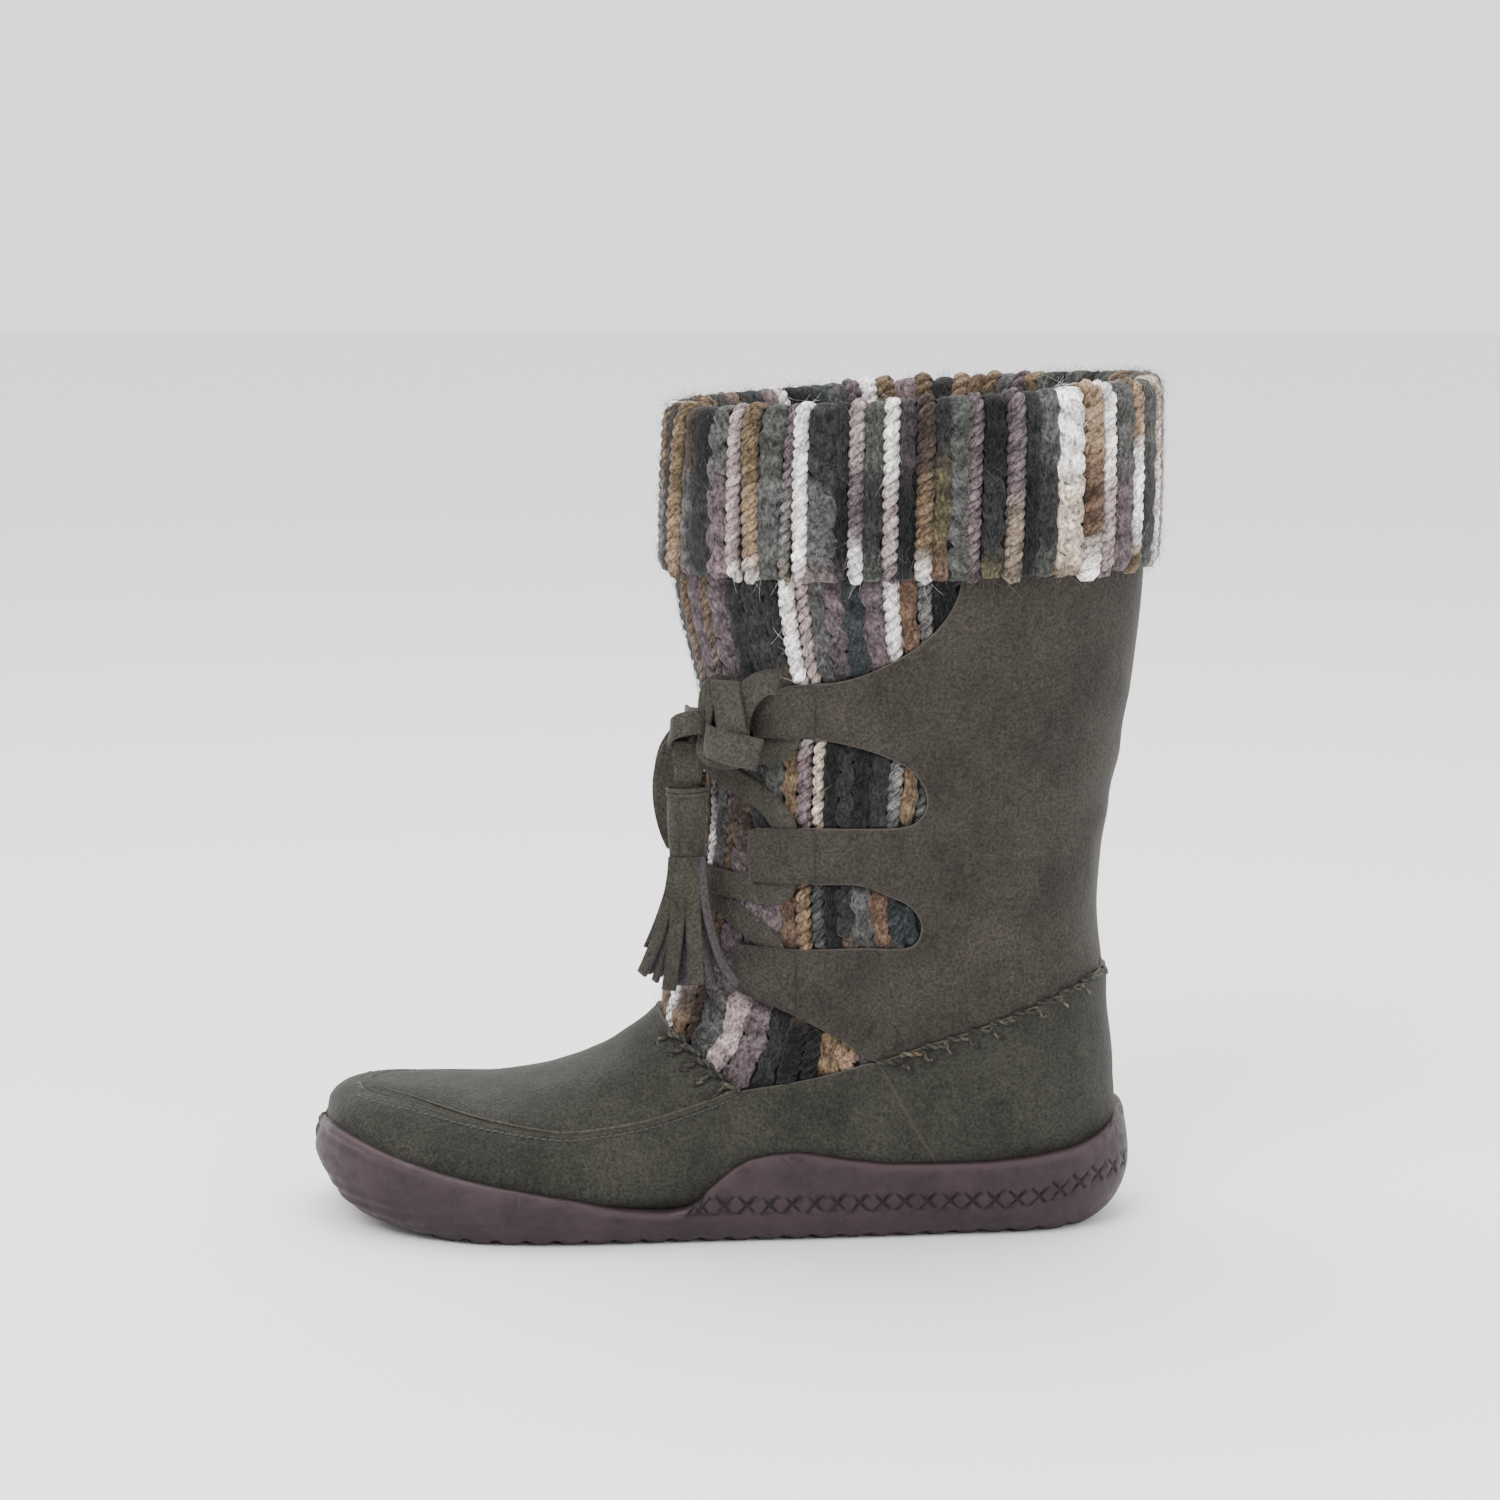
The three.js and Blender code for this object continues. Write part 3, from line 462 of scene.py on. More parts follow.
def station_of(x, z):
    """Station and angle (0..pi) of side-view points, and how far out to the outline each one is."""
    x, z = np.asarray(x, float), np.asarray(z, float)
    here = np.stack([x, z], -1)

    def above(u):
        front, back = section(u, 0.0)[:2]
        chord, gap = back - front, here - front
        return chord[:, 0] * gap[:, 1] - chord[:, 1] * gap[:, 0] <= 0

    u = halved(np.zeros(x.shape), np.full(x.shape, float(TOP)), 40, above)
    front, back, middle, _, powers = section(u, 0.0)[:5]
    ahead = ((here - middle) * (front - middle)).sum(-1) >= 0
    target = np.where(ahead[:, None], front, back)
    reach = np.linalg.norm(here - middle, axis=1) / np.linalg.norm(target - middle, axis=1)
    power = np.where(ahead, powers[0], powers[1])
    cos = np.minimum(reach, 1) ** (power / 2) * np.where(ahead, 1, -1)
    return u, np.arccos(cos), reach


# ---------------------------------------------------------------------------
# Curves and meshes
# ---------------------------------------------------------------------------


def lengths(points):
    """How far along a polyline each of its points is."""
    return np.concatenate([[0], np.cumsum(np.linalg.norm(np.diff(points, axis=0), axis=1))])


def read_off(want, at, values):
    """Values, or rows of values, known at some places and read off at others."""
    if values.ndim == 1:
        return np.interp(want, at, values)
    return np.stack([np.interp(want, at, column) for column in values.T], -1)


def resampled(points, step):
    """Points at even steps along a polyline, corners rounded by no more than a step."""
    points = np.asarray(points, float)
    at = lengths(points)
    count = max(2, int(round(at[-1] / step)) + 1)
    return read_off(np.linspace(0, at[-1], count), at, points)


def smooth(points, step):
    """A smooth curve through the points, at even steps."""
    points = np.asarray(points, float)
    at = np.arange(len(points) - 1)[:, None] + np.linspace(0, 1, 12, endpoint=False)
    at = np.append(at.ravel(), len(points) - 1)
    fine = np.stack([column(points, at, k) for k in range(points.shape[1])], -1)
    return resampled(fine, step)


def unit(vectors):
    """The vectors at length 1."""
    return vectors / (np.linalg.norm(vectors, axis=-1)[..., None] + 1e-12)


def tangents(points):
    return unit(np.gradient(points, axis=0))


def ring_quads(rows, n, closed=False):
    """Faces between rings of n points that follow each other, and on to the first if closed."""
    i = np.arange(rows if closed else rows - 1)[:, None]
    j = (i + 1) % rows
    k, k2 = np.arange(n), (np.arange(n) + 1) % n
    return np.stack([i * n + k, i * n + k2, j * n + k2, j * n + k], -1).reshape(-1, 4)


def inside_out(points, quads):
    """Whether the faces of a closed body look inwards."""
    a, b, c, d = (points[quads[:, j]] for j in range(4))
    return (np.cross(b - a, c - a) * a).sum() + (np.cross(c - a, d - a) * a).sum() < 0


class Mesh:
    """Gathers closed swept bodies into one object."""

    def __init__(self):
        self.points, self.faces, self.count = [], [], 0
        self.tints, self.places = [], []

    def sweep(self, line, out, profile, tint=None, seed=0.0):
        """Sweeps a profile of (across, out) corners along a line. profile may change along it."""
        along = tangents(line)
        side = unit(np.cross(along, out))
        out = unit(np.cross(side, along))
        profile = np.broadcast_to(profile, (len(line),) + np.shape(profile)[-2:])
        rings = (
            line[:, None] + side[:, None] * profile[..., :1] + out[:, None] * profile[..., 1:]
        )
        rows, n = rings.shape[:2]
        points = np.concatenate([rings.reshape(-1, 3), line[:1], line[-1:]])
        quads = ring_quads(rows, n)
        hub, end, last = rows * n, rows * n + 1, (rows - 1) * n
        caps = [(hub, (k + 1) % n, k) for k in range(n)]
        caps += [(end, last + k, last + (k + 1) % n) for k in range(n)]
        self.add(points, quads, caps)
        around = np.broadcast_to(np.arange(n) / n, (rows, n))
        far = np.broadcast_to(lengths(line)[:, None], (rows, n))
        place = np.stack([around.ravel(), far.ravel(), np.full(rows * n, seed)], -1)
        self.places.append(np.concatenate([place, place[:1], place[-1:]]))
        if tint is not None:
            tint = np.repeat(np.broadcast_to(tint, (rows, 3)), n, axis=0)
            self.tints.append(np.concatenate([tint, tint[:1], tint[-1:]]))

    def loft(self, rings):
        """Joins rings whose first half runs beside their second half, capped across the two."""
        rings = np.asarray(rings)
        rows, n = rings.shape[:2]
        points = rings.reshape(-1, 3)
        caps = []
        for first, flip in ((0, 1), ((rows - 1) * n, -1)):
            for j in range(n // 2 - 1):
                cap = (first + j, first + n - 1 - j, first + n - 2 - j, first + j + 1)
                caps.append(cap[::flip])
        self.add(points, ring_quads(rows, n), caps)
        self.places.append(np.zeros((len(points), 3)))

    def add(self, points, quads, caps):
        """Takes in one closed body, with its faces turned outwards."""
        turn = -1 if inside_out(points, quads) else 1
        for face in quads.tolist() + caps:
            self.faces.append(tuple(v + self.count for v in face)[::turn])
        self.points.append(points)
        self.count += len(points)

    def build(self, name, material, slot, node=None, body="boot"):
        made = new_object(name, np.concatenate(self.points), self.faces, material)
        add_attribute(made, "yarn_place", np.concatenate(self.places))
        if self.tints:
            add_attribute(made, "tint", np.concatenate(self.tints))
        settle(made, node, body)
        return made


def new_object(name, points, faces, material):
    """A smooth-shaded object from points in model millimetres."""
    mesh = bpy.data.meshes.new(name)
    mesh.from_pydata(metres(points).tolist(), [], faces)
    mesh.shade_smooth()
    mesh.materials.append(material)
    return placed(name, mesh)


def add_attribute(made, name, values):
    """Stores one number, place or colour per vertex."""
    values = np.asarray(values, np.float32)
    if values.ndim == 1:
        layer = made.data.attributes.new(name, "FLOAT", "POINT")
        layer.data.foreach_set("value", values)
    elif name == "tint":
        layer = made.data.attributes.new(name, "FLOAT_COLOR", "POINT")
        colours = np.concatenate([values, np.ones((len(values), 1), np.float32)], 1)
        layer.data.foreach_set("color", colours.ravel())
    else:
        layer = made.data.attributes.new(name, "FLOAT_VECTOR", "POINT")
        layer.data.foreach_set("vector", values.ravel())


def rounded_strip(width, thick, corners=3):
    """Section of a flat lace with rounded edges."""
    r = thick / 2
    angles = np.linspace(-math.pi / 2, math.pi / 2, 2 * corners)
    right = np.stack([width / 2 - r + r * np.cos(angles), r * np.sin(angles)], -1)
    middle = np.array([[width / 6, r], [-width / 6, r]])
    return np.concatenate([right, middle, -right, -middle])


def circle(radius, sides=8):
    """Section of a round thread."""
    angles = np.arange(sides) * 2 * math.pi / sides
    return radius * np.stack([np.cos(angles), np.sin(angles)], -1)


def inside(points, polygon):
    """Which 2-D points lie inside a polygon."""
    x, y = points[:, 0][:, None], points[:, 1][:, None]
    a, b = polygon, np.roll(polygon, -1, axis=0)
    crossing = (a[:, 1] > y) != (b[:, 1] > y)
    rise = np.where(b[:, 1] == a[:, 1], 1e-12, b[:, 1] - a[:, 1])
    at = a[:, 0] + (y - a[:, 1]) / rise * (b[:, 0] - a[:, 0])
    return ((crossing & (x < at)).sum(1) % 2) == 1


PLANE = np.array([15.0, 45.0])  # rough millimetres per station and per radian
INSETS = (0.25, 0.6, 1.2)  # rings of points just inside a panel's edge, in millimetres


def inset(outline, distance, off, sole=False):
    """The outline's points moved inwards over the surface by a distance in millimetres."""
    u, phi = outline.T
    along_u, along_phi, out = frames(u, phi, off, sole)
    on = on_form(u, phi, off, sole)
    run = np.roll(on, -1, axis=0) - np.roll(on, 1, axis=0)
    inwards = unit(np.cross(out, run))
    uu, pp = (along_u**2).sum(-1), (along_phi**2).sum(-1)
    up = (along_u * along_phi).sum(-1)
    au, ap = (along_u * inwards).sum(-1), (along_phi * inwards).sum(-1)
    det = uu * pp - up**2 + 1e-9
    step = np.stack([(au * pp - ap * up) / det, (ap * uu - au * up) / det], -1) * distance
    length = np.linalg.norm(step * PLANE, axis=1)
    step *= np.minimum(1, 6 * distance / (length + 1e-9))[:, None]
    flat = outline * PLANE
    area = (flat[:, 0] * np.roll(flat[:, 1], -1) - np.roll(flat[:, 0], -1) * flat[:, 1]).sum()
    turn = np.roll(flat, -1, axis=0) - np.roll(flat, 1, axis=0)
    left = np.stack([-turn[:, 1], turn[:, 0]], -1) * np.sign(area)
    same = np.sign((step * PLANE * left).sum(-1))
    return outline + step * same[:, None]


class Skin:
    """A panel on the form: an outline in (station, angle), filled with triangles. Outline points
    where `slit` is true lie on a cut that closes again, so they are no edge of the panel."""

    def __init__(self, outline, grid=(0.14, 0.055), off=1.8, sole=False, lines=(), slit=None):
        self.sole = sole
        slit = np.zeros(len(outline), bool) if slit is None else slit
        apart = np.linalg.norm((outline - np.roll(outline, 1, axis=0)) * PLANE, axis=1) > 1e-4
        outline, slit = outline[apart], slit[apart]
        rim = on_form(outline[:, 0], outline[:, 1], off, sole)
        real = ~slit & ~np.roll(slit, -1)
        ahead = np.roll(rim, -1, axis=0)
        dense = np.concatenate([(rim + (ahead - rim) * s)[real] for s in (0, 1 / 3, 2 / 3)])
        self.tree = kdtree.KDTree(len(dense))
        for i, p in enumerate(dense):
            self.tree.insert(p, i)
        self.tree.balance()
        spans = [
            np.arange(outline[:, k].min() + step / 2, outline[:, k].max(), step)
            for k, step in enumerate(grid)
        ]
        field = np.stack(np.meshgrid(*spans, indexing="ij"), -1).reshape(-1, 2)
        field = field[inside(field, outline)]
        field = field[self.depth(field, off) > 1.3 * INSETS[-1]]
        rings = []
        for d in INSETS:
            ring = inset(outline, d, off, sole)[~slit]
            ring = ring[inside(ring, outline)]
            rings.append(ring[self.depth(ring, off) > 0.7 * d])
        points = np.concatenate([outline, *rings, field, *lines])
        n = len(outline)
        edges = [(i, (i + 1) % n) for i in range(n)]
        at = len(points) - sum(len(line) for line in lines)
        for line in lines:
            edges += [(at + i, at + (i + 1) % len(line)) for i in range(len(line))]
            at += len(line)
        flat = [Vector(p) for p in (points * PLANE).tolist()]
        found = delaunay_2d_cdt(flat, edges, [], 0, 1e-5)
        self.at = np.array([list(v) for v in found[0]]) / PLANE
        triangles = np.array([f for f in found[2] if len(f) == 3])
        middles = self.at[triangles].mean(1)
        self.triangles = triangles[inside(middles, outline)]
        self.edge = self.depth(self.at, off)

    def depth(self, at, off):
        """Distance of each point from the outline, in millimetres."""
        on = on_form(at[:, 0], at[:, 1], off, self.sole)
        return np.array([self.tree.find(p)[2] for p in on])

    def build(self, name, material, outer, inner, extras=None):
        """A closed body between the outer and inner points, joined by a rim."""
        keys = {}
        index = np.zeros(len(outer), int)
        for i, p in enumerate(np.round(outer, 3)):
            index[i] = keys.setdefault(tuple(p), i)
        used = index[self.triangles]
        good = (used[:, 0] != used[:, 1]) & (used[:, 1] != used[:, 2]) & (used[:, 0] != used[:, 2])
        used = used[good]
        kept, flat = np.unique(used, return_inverse=True)
        tops = flat.reshape(-1, 3)
        count = len(kept)
        points = np.concatenate([outer[kept], inner[kept]])
        a, b, c = (outer[kept][tops[:, j]] for j in range(3))
        away = (outer[kept] - inner[kept])[tops[:, 0]]
        if (np.cross(b - a, c - a) * away).sum() < 0:
            tops = tops[:, ::-1]
        sides = np.concatenate([tops[:, [0, 1]], tops[:, [1, 2]], tops[:, [2, 0]]])
        twins = set(map(tuple, sides.tolist()))
        rim = [(p, q) for p, q in sides.tolist() if (q, p) not in twins]
        faces = tops.tolist() + (tops[:, ::-1] + count).tolist()
        faces += [(q, p, p + count, q + count) for p, q in rim]
        made = new_object(name, points, faces, material)
        for key, (top_values, low_values) in (extras or {}).items():
            add_attribute(made, key, np.concatenate([top_values[kept], low_values[kept]]))
        return made


def ripples(points, seed, size, count=7):
    """Gentle waves over the surface, between about -1 and 1."""
    pick = np.random.default_rng(seed)
    total = np.zeros(len(points))
    for _ in range(count):
        direction = unit(pick.normal(size=3))
        wave = pick.uniform(0.7, 1.6) * size
        total += np.sin(points @ direction * 2 * math.pi / wave + pick.uniform(0, 7))
    return total / math.sqrt(count)


# ---------------------------------------------------------------------------
# Side-view lines where the leather ends, as in part.mjs
# ---------------------------------------------------------------------------

MOC_SEAM = np.array([
    [-150, 47.0], [-121.5, 42.6], [-119.2, 40.4], [-116.5, 39.7], [-106.8, 38.9], [-99.5, 38.2],
    [-88.8, 36.9], [-77.8, 35.7], [-64.2, 34.7], [-51.0, 34.2], [-38.0, 35.7], [-22.0, 38.7],
    [-6.0, 43.5], [6.7, 48.2],
])
THROAT = np.array(
    [[6.7, 48.2], [1.0, 51.6], [-4.4, 56.0], [-9.0, 60.4], [-14.6, 64.0], [-20, 69], [-22, 74]]
)
WINDOW_FOOT = np.array([[6.7, 48.2], [22.9, 50.8], [35.8, 53.8], [47.0, 57.4], [51.0, 58.0]])
SIDE_SEAM = np.array(
    [[51.0, 58.0], [54.4, 52.7], [59.8, 42.9], [65.3, 33.0], [69.5, 25.8], [74.0, 8.0], [76, 0]]
)
FOXING_TOP = np.array([
    [51.0, 58.0], [64.5, 63.4], [77.2, 67.8], [89.8, 72.5], [102.4, 77.2], [115.5, 82.0],
    [122.8, 84.0], [140, 85.5],
])
SLEEVE_BOTTOM = np.array([[-60, 72], [-38, 58], [-24, 46], [0, 38], [40, 38], [100, 49], [145, 54]])
QUARTER_FRONT = np.array([
    [79.5, 256.0], [76.8, 224.0], [75.6, 214.8], [73.5, 207.9], [69.0, 200.7], [61.3, 193.7],
    [52.2, 188.3], [44.2, 184.7], [36.6, 182.7], [25.9, 181.5], [15.6, 179.0], [13.8, 177.2],
    [13.6, 165.9], [15.3, 164.2], [30.0, 164.4], [44.4, 161.9], [54.0, 158.6], [60.8, 154.7],
    [64.9, 148.9], [65.6, 143.1], [62.6, 138.2], [57.3, 136.3], [44.6, 135.7], [29.8, 135.2],
    [14.3, 133.8], [12.6, 132.2], [12.2, 118.2], [13.8, 116.6], [21.8, 116.7], [32.4, 116.8],
    [44.8, 117.0], [52.9, 114.2], [60.7, 110.3], [64.3, 104.7], [63.4, 99.0], [58.8, 96.3],
    [45.0, 96.0], [26.5, 94.5], [9.4, 94.1], [7.6, 92.4], [7.4, 80.0], [8.8, 78.4], [14.4, 76.2],
    [20.4, 74.4], [29.9, 69.8], [39.7, 64.8], [47.0, 59.8], [51.0, 58.0],
])
QUARTER_TOP = np.array([[160, 258.0], [110, 257.0], [79.5, 256.0]])
QUARTER_OUTLINE = np.concatenate([QUARTER_FRONT, FOXING_TOP[1:], [[160, 120]], QUARTER_TOP[:-1]])


EDGE_STEP = 1.1


def to_form(line, curved=True):
    """A side-view line as (station, angle) points, ending where it leaves the form's outline."""
    line = resampled(smooth(line, EDGE_STEP) if curved else line, EDGE_STEP)
    u, phi, reach = station_of(line[:, 0], line[:, 1])
    on = np.flatnonzero(reach < 1)
    first, last = max(on[0] - 1, 0), min(on[-1] + 1, len(line) - 1)
    return np.stack([u, phi], -1)[first : last + 1]


def mirrored(outline, about=0.0):
    """The same points on the far side, in reverse order, mirrored about the front or the back."""
    return np.stack([outline[:, 0], 2 * about - outline[:, 1]], -1)[::-1]


# ---------------------------------------------------------------------------
# Leather
# ---------------------------------------------------------------------------

EDGE_RADIUS = 0.8  # of a cut edge
# The paler band at a cut edge is partly the raw edge's colour and partly a painted edge highlight.
WORN_AND_HIGHLIT_EDGE = 0.55  # how far in from a cut edge the nap is paler


def panel(name, node, outline, material, seed, swell=None, grid=(0.14, 0.055), slit=None):
    """A leather panel with rounded cut edges, paler there (raw edge colour and painted edge
    highlight), and soft waves.
    """
    skin = Skin(outline, grid, slit=slit)
    u, phi = skin.at.T
    on = on_form(u, phi, LEATHER[1])
    drop = EDGE_RADIUS - np.sqrt(
        np.maximum(EDGE_RADIUS**2 - np.maximum(EDGE_RADIUS - skin.edge, 0) ** 2, 0)
    )
    wave = 0.32 * ripples(on, seed, 42) + 0.12 * ripples(on, seed + 1, 14)
    wave *= np.clip(skin.edge / 6, 0, 1)
    lift = swell(on, skin.edge) if swell else 0.0
    outer = on_form(u, phi, LEATHER[1] - drop + np.maximum(wave, -0.4) + lift)
    inner = on_form(u, phi, LEATHER[0])
    # Paler band at the cut edge: raw edge colour and painted edge highlight.
    edge_wear_and_highlight = np.clip(1 - skin.edge / WORN_AND_HIGHLIT_EDGE, 0, 1) ** 1.5
    made = skin.build(name, material, outer, inner, {"wear_and_highlight": (edge_wear_and_highlight, np.ones(len(edge_wear_and_highlight)))})
    settle(made, node)


def vamp_plug():
    """The top of the foot, from the toe up to the throat."""
    near = np.concatenate([to_form(MOC_SEAM), to_form(THROAT)[1:]])
    near[[0, -1], 1] = 0
    outline = np.concatenate([near, mirrored(near)[1:-1]])

    def crown(on, depth):
        """The top of the foot stands a little fuller than its seam."""
        return 0.2 * np.clip(depth / 9, 0, 1) - 0.4 * np.exp(-((depth - 1.6) / 0.9) ** 2)

    panel("vamp_plug_suede", "vamp_plug", outline, FOOT_SUEDE, 3, crown)


def vamp_wall():
    """The wall round the toe and the sides, cut open along the front of the toe."""
    near = np.concatenate([to_form(MOC_SEAM), to_form(WINDOW_FOOT)[1:], to_form(SIDE_SEAM)[1:]])
    near[0, 1], near[-1, 1] = 0, math.pi
    nose = np.linspace(near[0, 0], -1, 14)[1:]
    closed = np.stack([nose, np.full(len(nose), 2 * math.pi)], -1)
    tip = np.stack([np.full(11, -1.0), np.linspace(2 * math.pi, 0, 13)[1:-1]], -1)
    outline = np.concatenate(
        [near, mirrored(near, math.pi)[1:], closed, tip, mirrored(closed, math.pi)]
    )
    slit = np.zeros(len(outline), bool)
    slit[-(2 * len(closed) + len(tip)) :] = True

    def seam(on, depth):
        """Gathered a little along the moc seam."""
        along = np.sin(on[:, 0] * 2 * math.pi / 4.2)
        near_seam = np.exp(-depth / 2.5) * (on[:, 2] > 30) * (on[:, 0] < 0)
        return 0.16 * along * near_seam - 0.3 * np.exp(-((depth - 1.3) / 0.8) ** 2)

    panel("vamp_wall_suede", "vamp_wall", outline, FOOT_SUEDE, 7, seam, slit=slit)


def heel_foxing():
    """The heel piece, from one side seam round the back to the other."""
    top, seam = to_form(FOXING_TOP), to_form(SIDE_SEAM)
    top[-1, 1] = seam[-1, 1] = math.pi
    outline = np.concatenate([
        top, mirrored(top, math.pi)[1:], mirrored(seam, math.pi)[::-1][1:], seam[::-1][1:-1],
    ])

    def flare(on, depth):
        """The foxing laps over the shaft and stands proud of it at the back."""
        level = np.interp(on[:, 0], *FOXING_TOP.T)
        below = np.clip(1 - (level - on[:, 2]) / 16, 0, 1)
        back = np.clip((on[:, 0] - 60) / 60, 0, 1)
        return (0.5 + 1.1 * back) * below

    panel("heel_foxing_suede", "heel_foxing", outline, FOOT_SUEDE, 11, flare)


def quarter(side, sign):
    """One half of the shaft, from the back seam to the ends of its three straps."""
    front, low = to_form(QUARTER_FRONT), to_form(FOXING_TOP)
    top = to_form(QUARTER_TOP, curved=False)
    low[-1, 1] = top[0, 1] = math.pi
    rise = np.linspace(low[-1, 0], top[0, 0], 170)[1:-1]
    back = np.stack([rise, np.full(len(rise), math.pi)], -1)
    outline = np.concatenate([front, low[1:], back, top[:-1]])
    outline[:, 1] *= sign

    def seam(on, depth):
        """A raised seam down the back and two soft pulls at the ankle."""
        ridge = 0.45 * np.exp(-((on[:, 1] / 1.3) ** 2)) * (on[:, 0] > 60)
        pull = np.sin((on[:, 2] - 0.35 * on[:, 0]) * 2 * math.pi / 21)
        near_ankle = np.exp(-((on[:, 2] - 148) / 22) ** 2 - ((on[:, 0] - 118) / 28) ** 2)
        return ridge + 0.5 * pull * near_ankle

    panel(f"quarter_{side}_suede", f"quarter_{side}", outline, SHAFT_SUEDE, 17 + sign, seam)


# Strap ends folded back into lace tunnels: front x, stitched x, and the heights they lie between.
STRAPS = ((13.0, 30.4, (163, 186)), (11.6, 30.4, (115, 137)), (6.9, 24.5, (68, 96)))
# The fold's outer line at its two ends, as x from the stitching or the front, and height over the
# form. Between the two it runs flat.
FOLD_STITCHED = ((0.9, 1.9), (0.8, 2.6), (-1.2, 3.4), (-4.0, 4.6))
FOLD_FRONT = ((2.2, 4.9), (0.6, 4.4), (-0.2, 3.3), (-0.1, 2.2), (0.5, 1.4))
FOLD_HEIGHT = 5.0
FOLD_THICK = 1.15


def strap_folds():
    """Each strap's end turned back on itself and stitched down, leaving a tunnel for the lace."""
    gather = Mesh()
    for sign in (1, -1):
        for front, stitched, (low, high) in STRAPS:
            outline = smooth(QUARTER_FRONT, 0.6)
            between = (outline[:, 1] > low) & (outline[:, 1] < high)
            strap = outline[between & (outline[:, 0] < stitched + 2)]
            middle = (strap[:, 1].min() + strap[:, 1].max()) / 2
            upper, lower = strap[strap[:, 1] > middle], strap[strap[:, 1] < middle]
            path = [(stitched + a, height) for a, height in FOLD_STITCHED]
            path += [(front + 0.35 * (stitched - front), FOLD_HEIGHT)]
            path += [(front + a, height) for a, height in FOLD_FRONT]
            path = smooth(np.array(path), 0.7)
            away = np.gradient(path, axis=0)
            normal = unit(np.stack([away[:, 1], -away[:, 0]], -1))
            ring = np.concatenate([path, (path - normal * FOLD_THICK)[::-1]])
            tops = np.interp(ring[:, 0], *upper[np.argsort(upper[:, 0])].T)
            lows = np.interp(ring[:, 0], *lower[np.argsort(lower[:, 0])].T)
            rings = []
            for share in np.linspace(0, 1, 15):
                bulge = 1 - 0.12 * abs(2 * share - 1) ** 3
                u, phi, _ = station_of(ring[:, 0], lows + (tops - lows) * share)
                height = LEATHER[0] + (ring[:, 1] - LEATHER[0]) * bulge
                rings.append(on_form(u, phi * sign, height))
            gather.loft(rings)
    gather.build("strap_folds", SHAFT_SUEDE, "shaft_suede")


# ---------------------------------------------------------------------------
# Rubber sole
# ---------------------------------------------------------------------------

MARKS_A_SIDE = 24
MARK_PITCH = 7.3
MARK_ARM = (2.45, 2.6)  # half an X mark's length and height
MARK_STROKE = 0.42
MARK_DEPTH = 0.8


def sole_point(u, phi):
    """Points on the outside of the sole, before its relief."""
    return on_form(u, phi, SOLE_OUTSIDE, True)


def angle_at(u, height, off, sole):
    """The angle at which each section passes down through a height that depends on x."""

    def below(phi):
        p = on_form(u, phi, off, sole)
        return p[:, 2] <= height(p[:, 0])

    return halved(np.zeros(len(u)), np.full(len(u), math.pi), 36, below)


def sole_top(x):
    """Height of the sole's top edge."""
    return np.interp(x, *SOLE_TOP.T)


def mark_height(x):
    """Height of the row of X marks, which climbs round the heel."""
    t = np.clip((x - 97) / 38, 0, 1)
    return 13.4 + 7.6 * t * t * (3 - 2 * t)


def even_edge(height, low, high, step):
    """(station, angle) points at even steps along a height line on the sole's near side."""
    share = np.linspace(0, 1, 900)
    u = low + (high - low) * (1 - (1 - share) ** 3)
    phi = angle_at(u, height, SOLE_OUTSIDE, True)
    at = lengths(sole_point(u, phi))
    want = np.linspace(0, at[-1], int(at[-1] / step) + 1)
    u = np.interp(want, at, u)
    return np.stack([u, angle_at(u, height, SOLE_OUTSIDE, True)], -1)


def heel_station(height):
    """The station where a height line reaches the middle of the heel."""

    def above(u):
        p = sole_point(u, math.pi)
        return p[:, 2] > height(p[:, 0])

    return float(halved(np.array([9.0]), np.array([11.0]), 30, above)[0])


class Marks:
    """The row of X marks: a centre and two directions for each."""

    def __init__(self):
        line = even_edge(mark_height, 6.0, heel_station(mark_height), 0.5)
        line[-1, 1] = math.pi
        on = sole_point(*line.T)
        at = lengths(on)[-1] - lengths(on)
        want = (np.arange(MARKS_A_SIDE) + 0.5) * MARK_PITCH
        centres = read_off(want, at[::-1], line[::-1])
        far = centres * [1, -1] + [0, 2 * math.pi]
        self.at = np.concatenate([centres, far])
        self.on = sole_point(*self.at.T)
        self.along_u, self.along_phi, out = frames(*self.at.T, SOLE_OUTSIDE, True)
        self.along = unit(np.cross(out, [0, 0, 1]))
        self.up = unit(np.cross(self.along, out))

    def outline(self, grow):
        """Each X's outline in (station, angle), grown by a distance."""
        arms = np.array([(a, b) for a, b in ((1, 1), (-1, 1), (-1, -1), (1, -1))]) * MARK_ARM
        corners = []
        stroke = MARK_STROKE + grow
        for i, arm in enumerate(arms):
            along, after = unit(arm), unit(arms[(i + 1) % 4])
            normal = np.array([-along[1], along[0]])
            end = arm + along * grow
            corners += [end - normal * stroke, end + normal * stroke]
            half = math.acos(np.clip(along @ after, -1, 1)) / 2
            corners.append(unit(along + after) * stroke / math.sin(half))
        corners = np.array(corners)
        loops = []
        for at, a, b, u, phi in zip(self.at, self.along, self.up, self.along_u, self.along_phi):
            offset = corners[:, :1] * a + corners[:, 1:] * b
            jacobian = np.stack([u, phi], -1)
            loops.append(at + np.linalg.lstsq(jacobian, offset.T, rcond=None)[0].T)
        return loops

    def distance(self, points):
        """How far each point is from the nearest X's centre strokes."""
        found = np.full(len(points), 9.0)
        arm = np.array(MARK_ARM)
        for centre, a, b in zip(self.on, self.along, self.up):
            near = np.flatnonzero(np.abs(points - centre).max(1) < 5)
            local = np.stack([(points[near] - centre) @ a, (points[near] - centre) @ b], -1)
            for stroke in (arm, arm * [1, -1]):
                t = np.clip(local @ stroke / (stroke @ stroke), -1, 1)
                gap = np.linalg.norm(local - t[:, None] * stroke, axis=1)
                found[near] = np.minimum(found[near], gap)
        return found


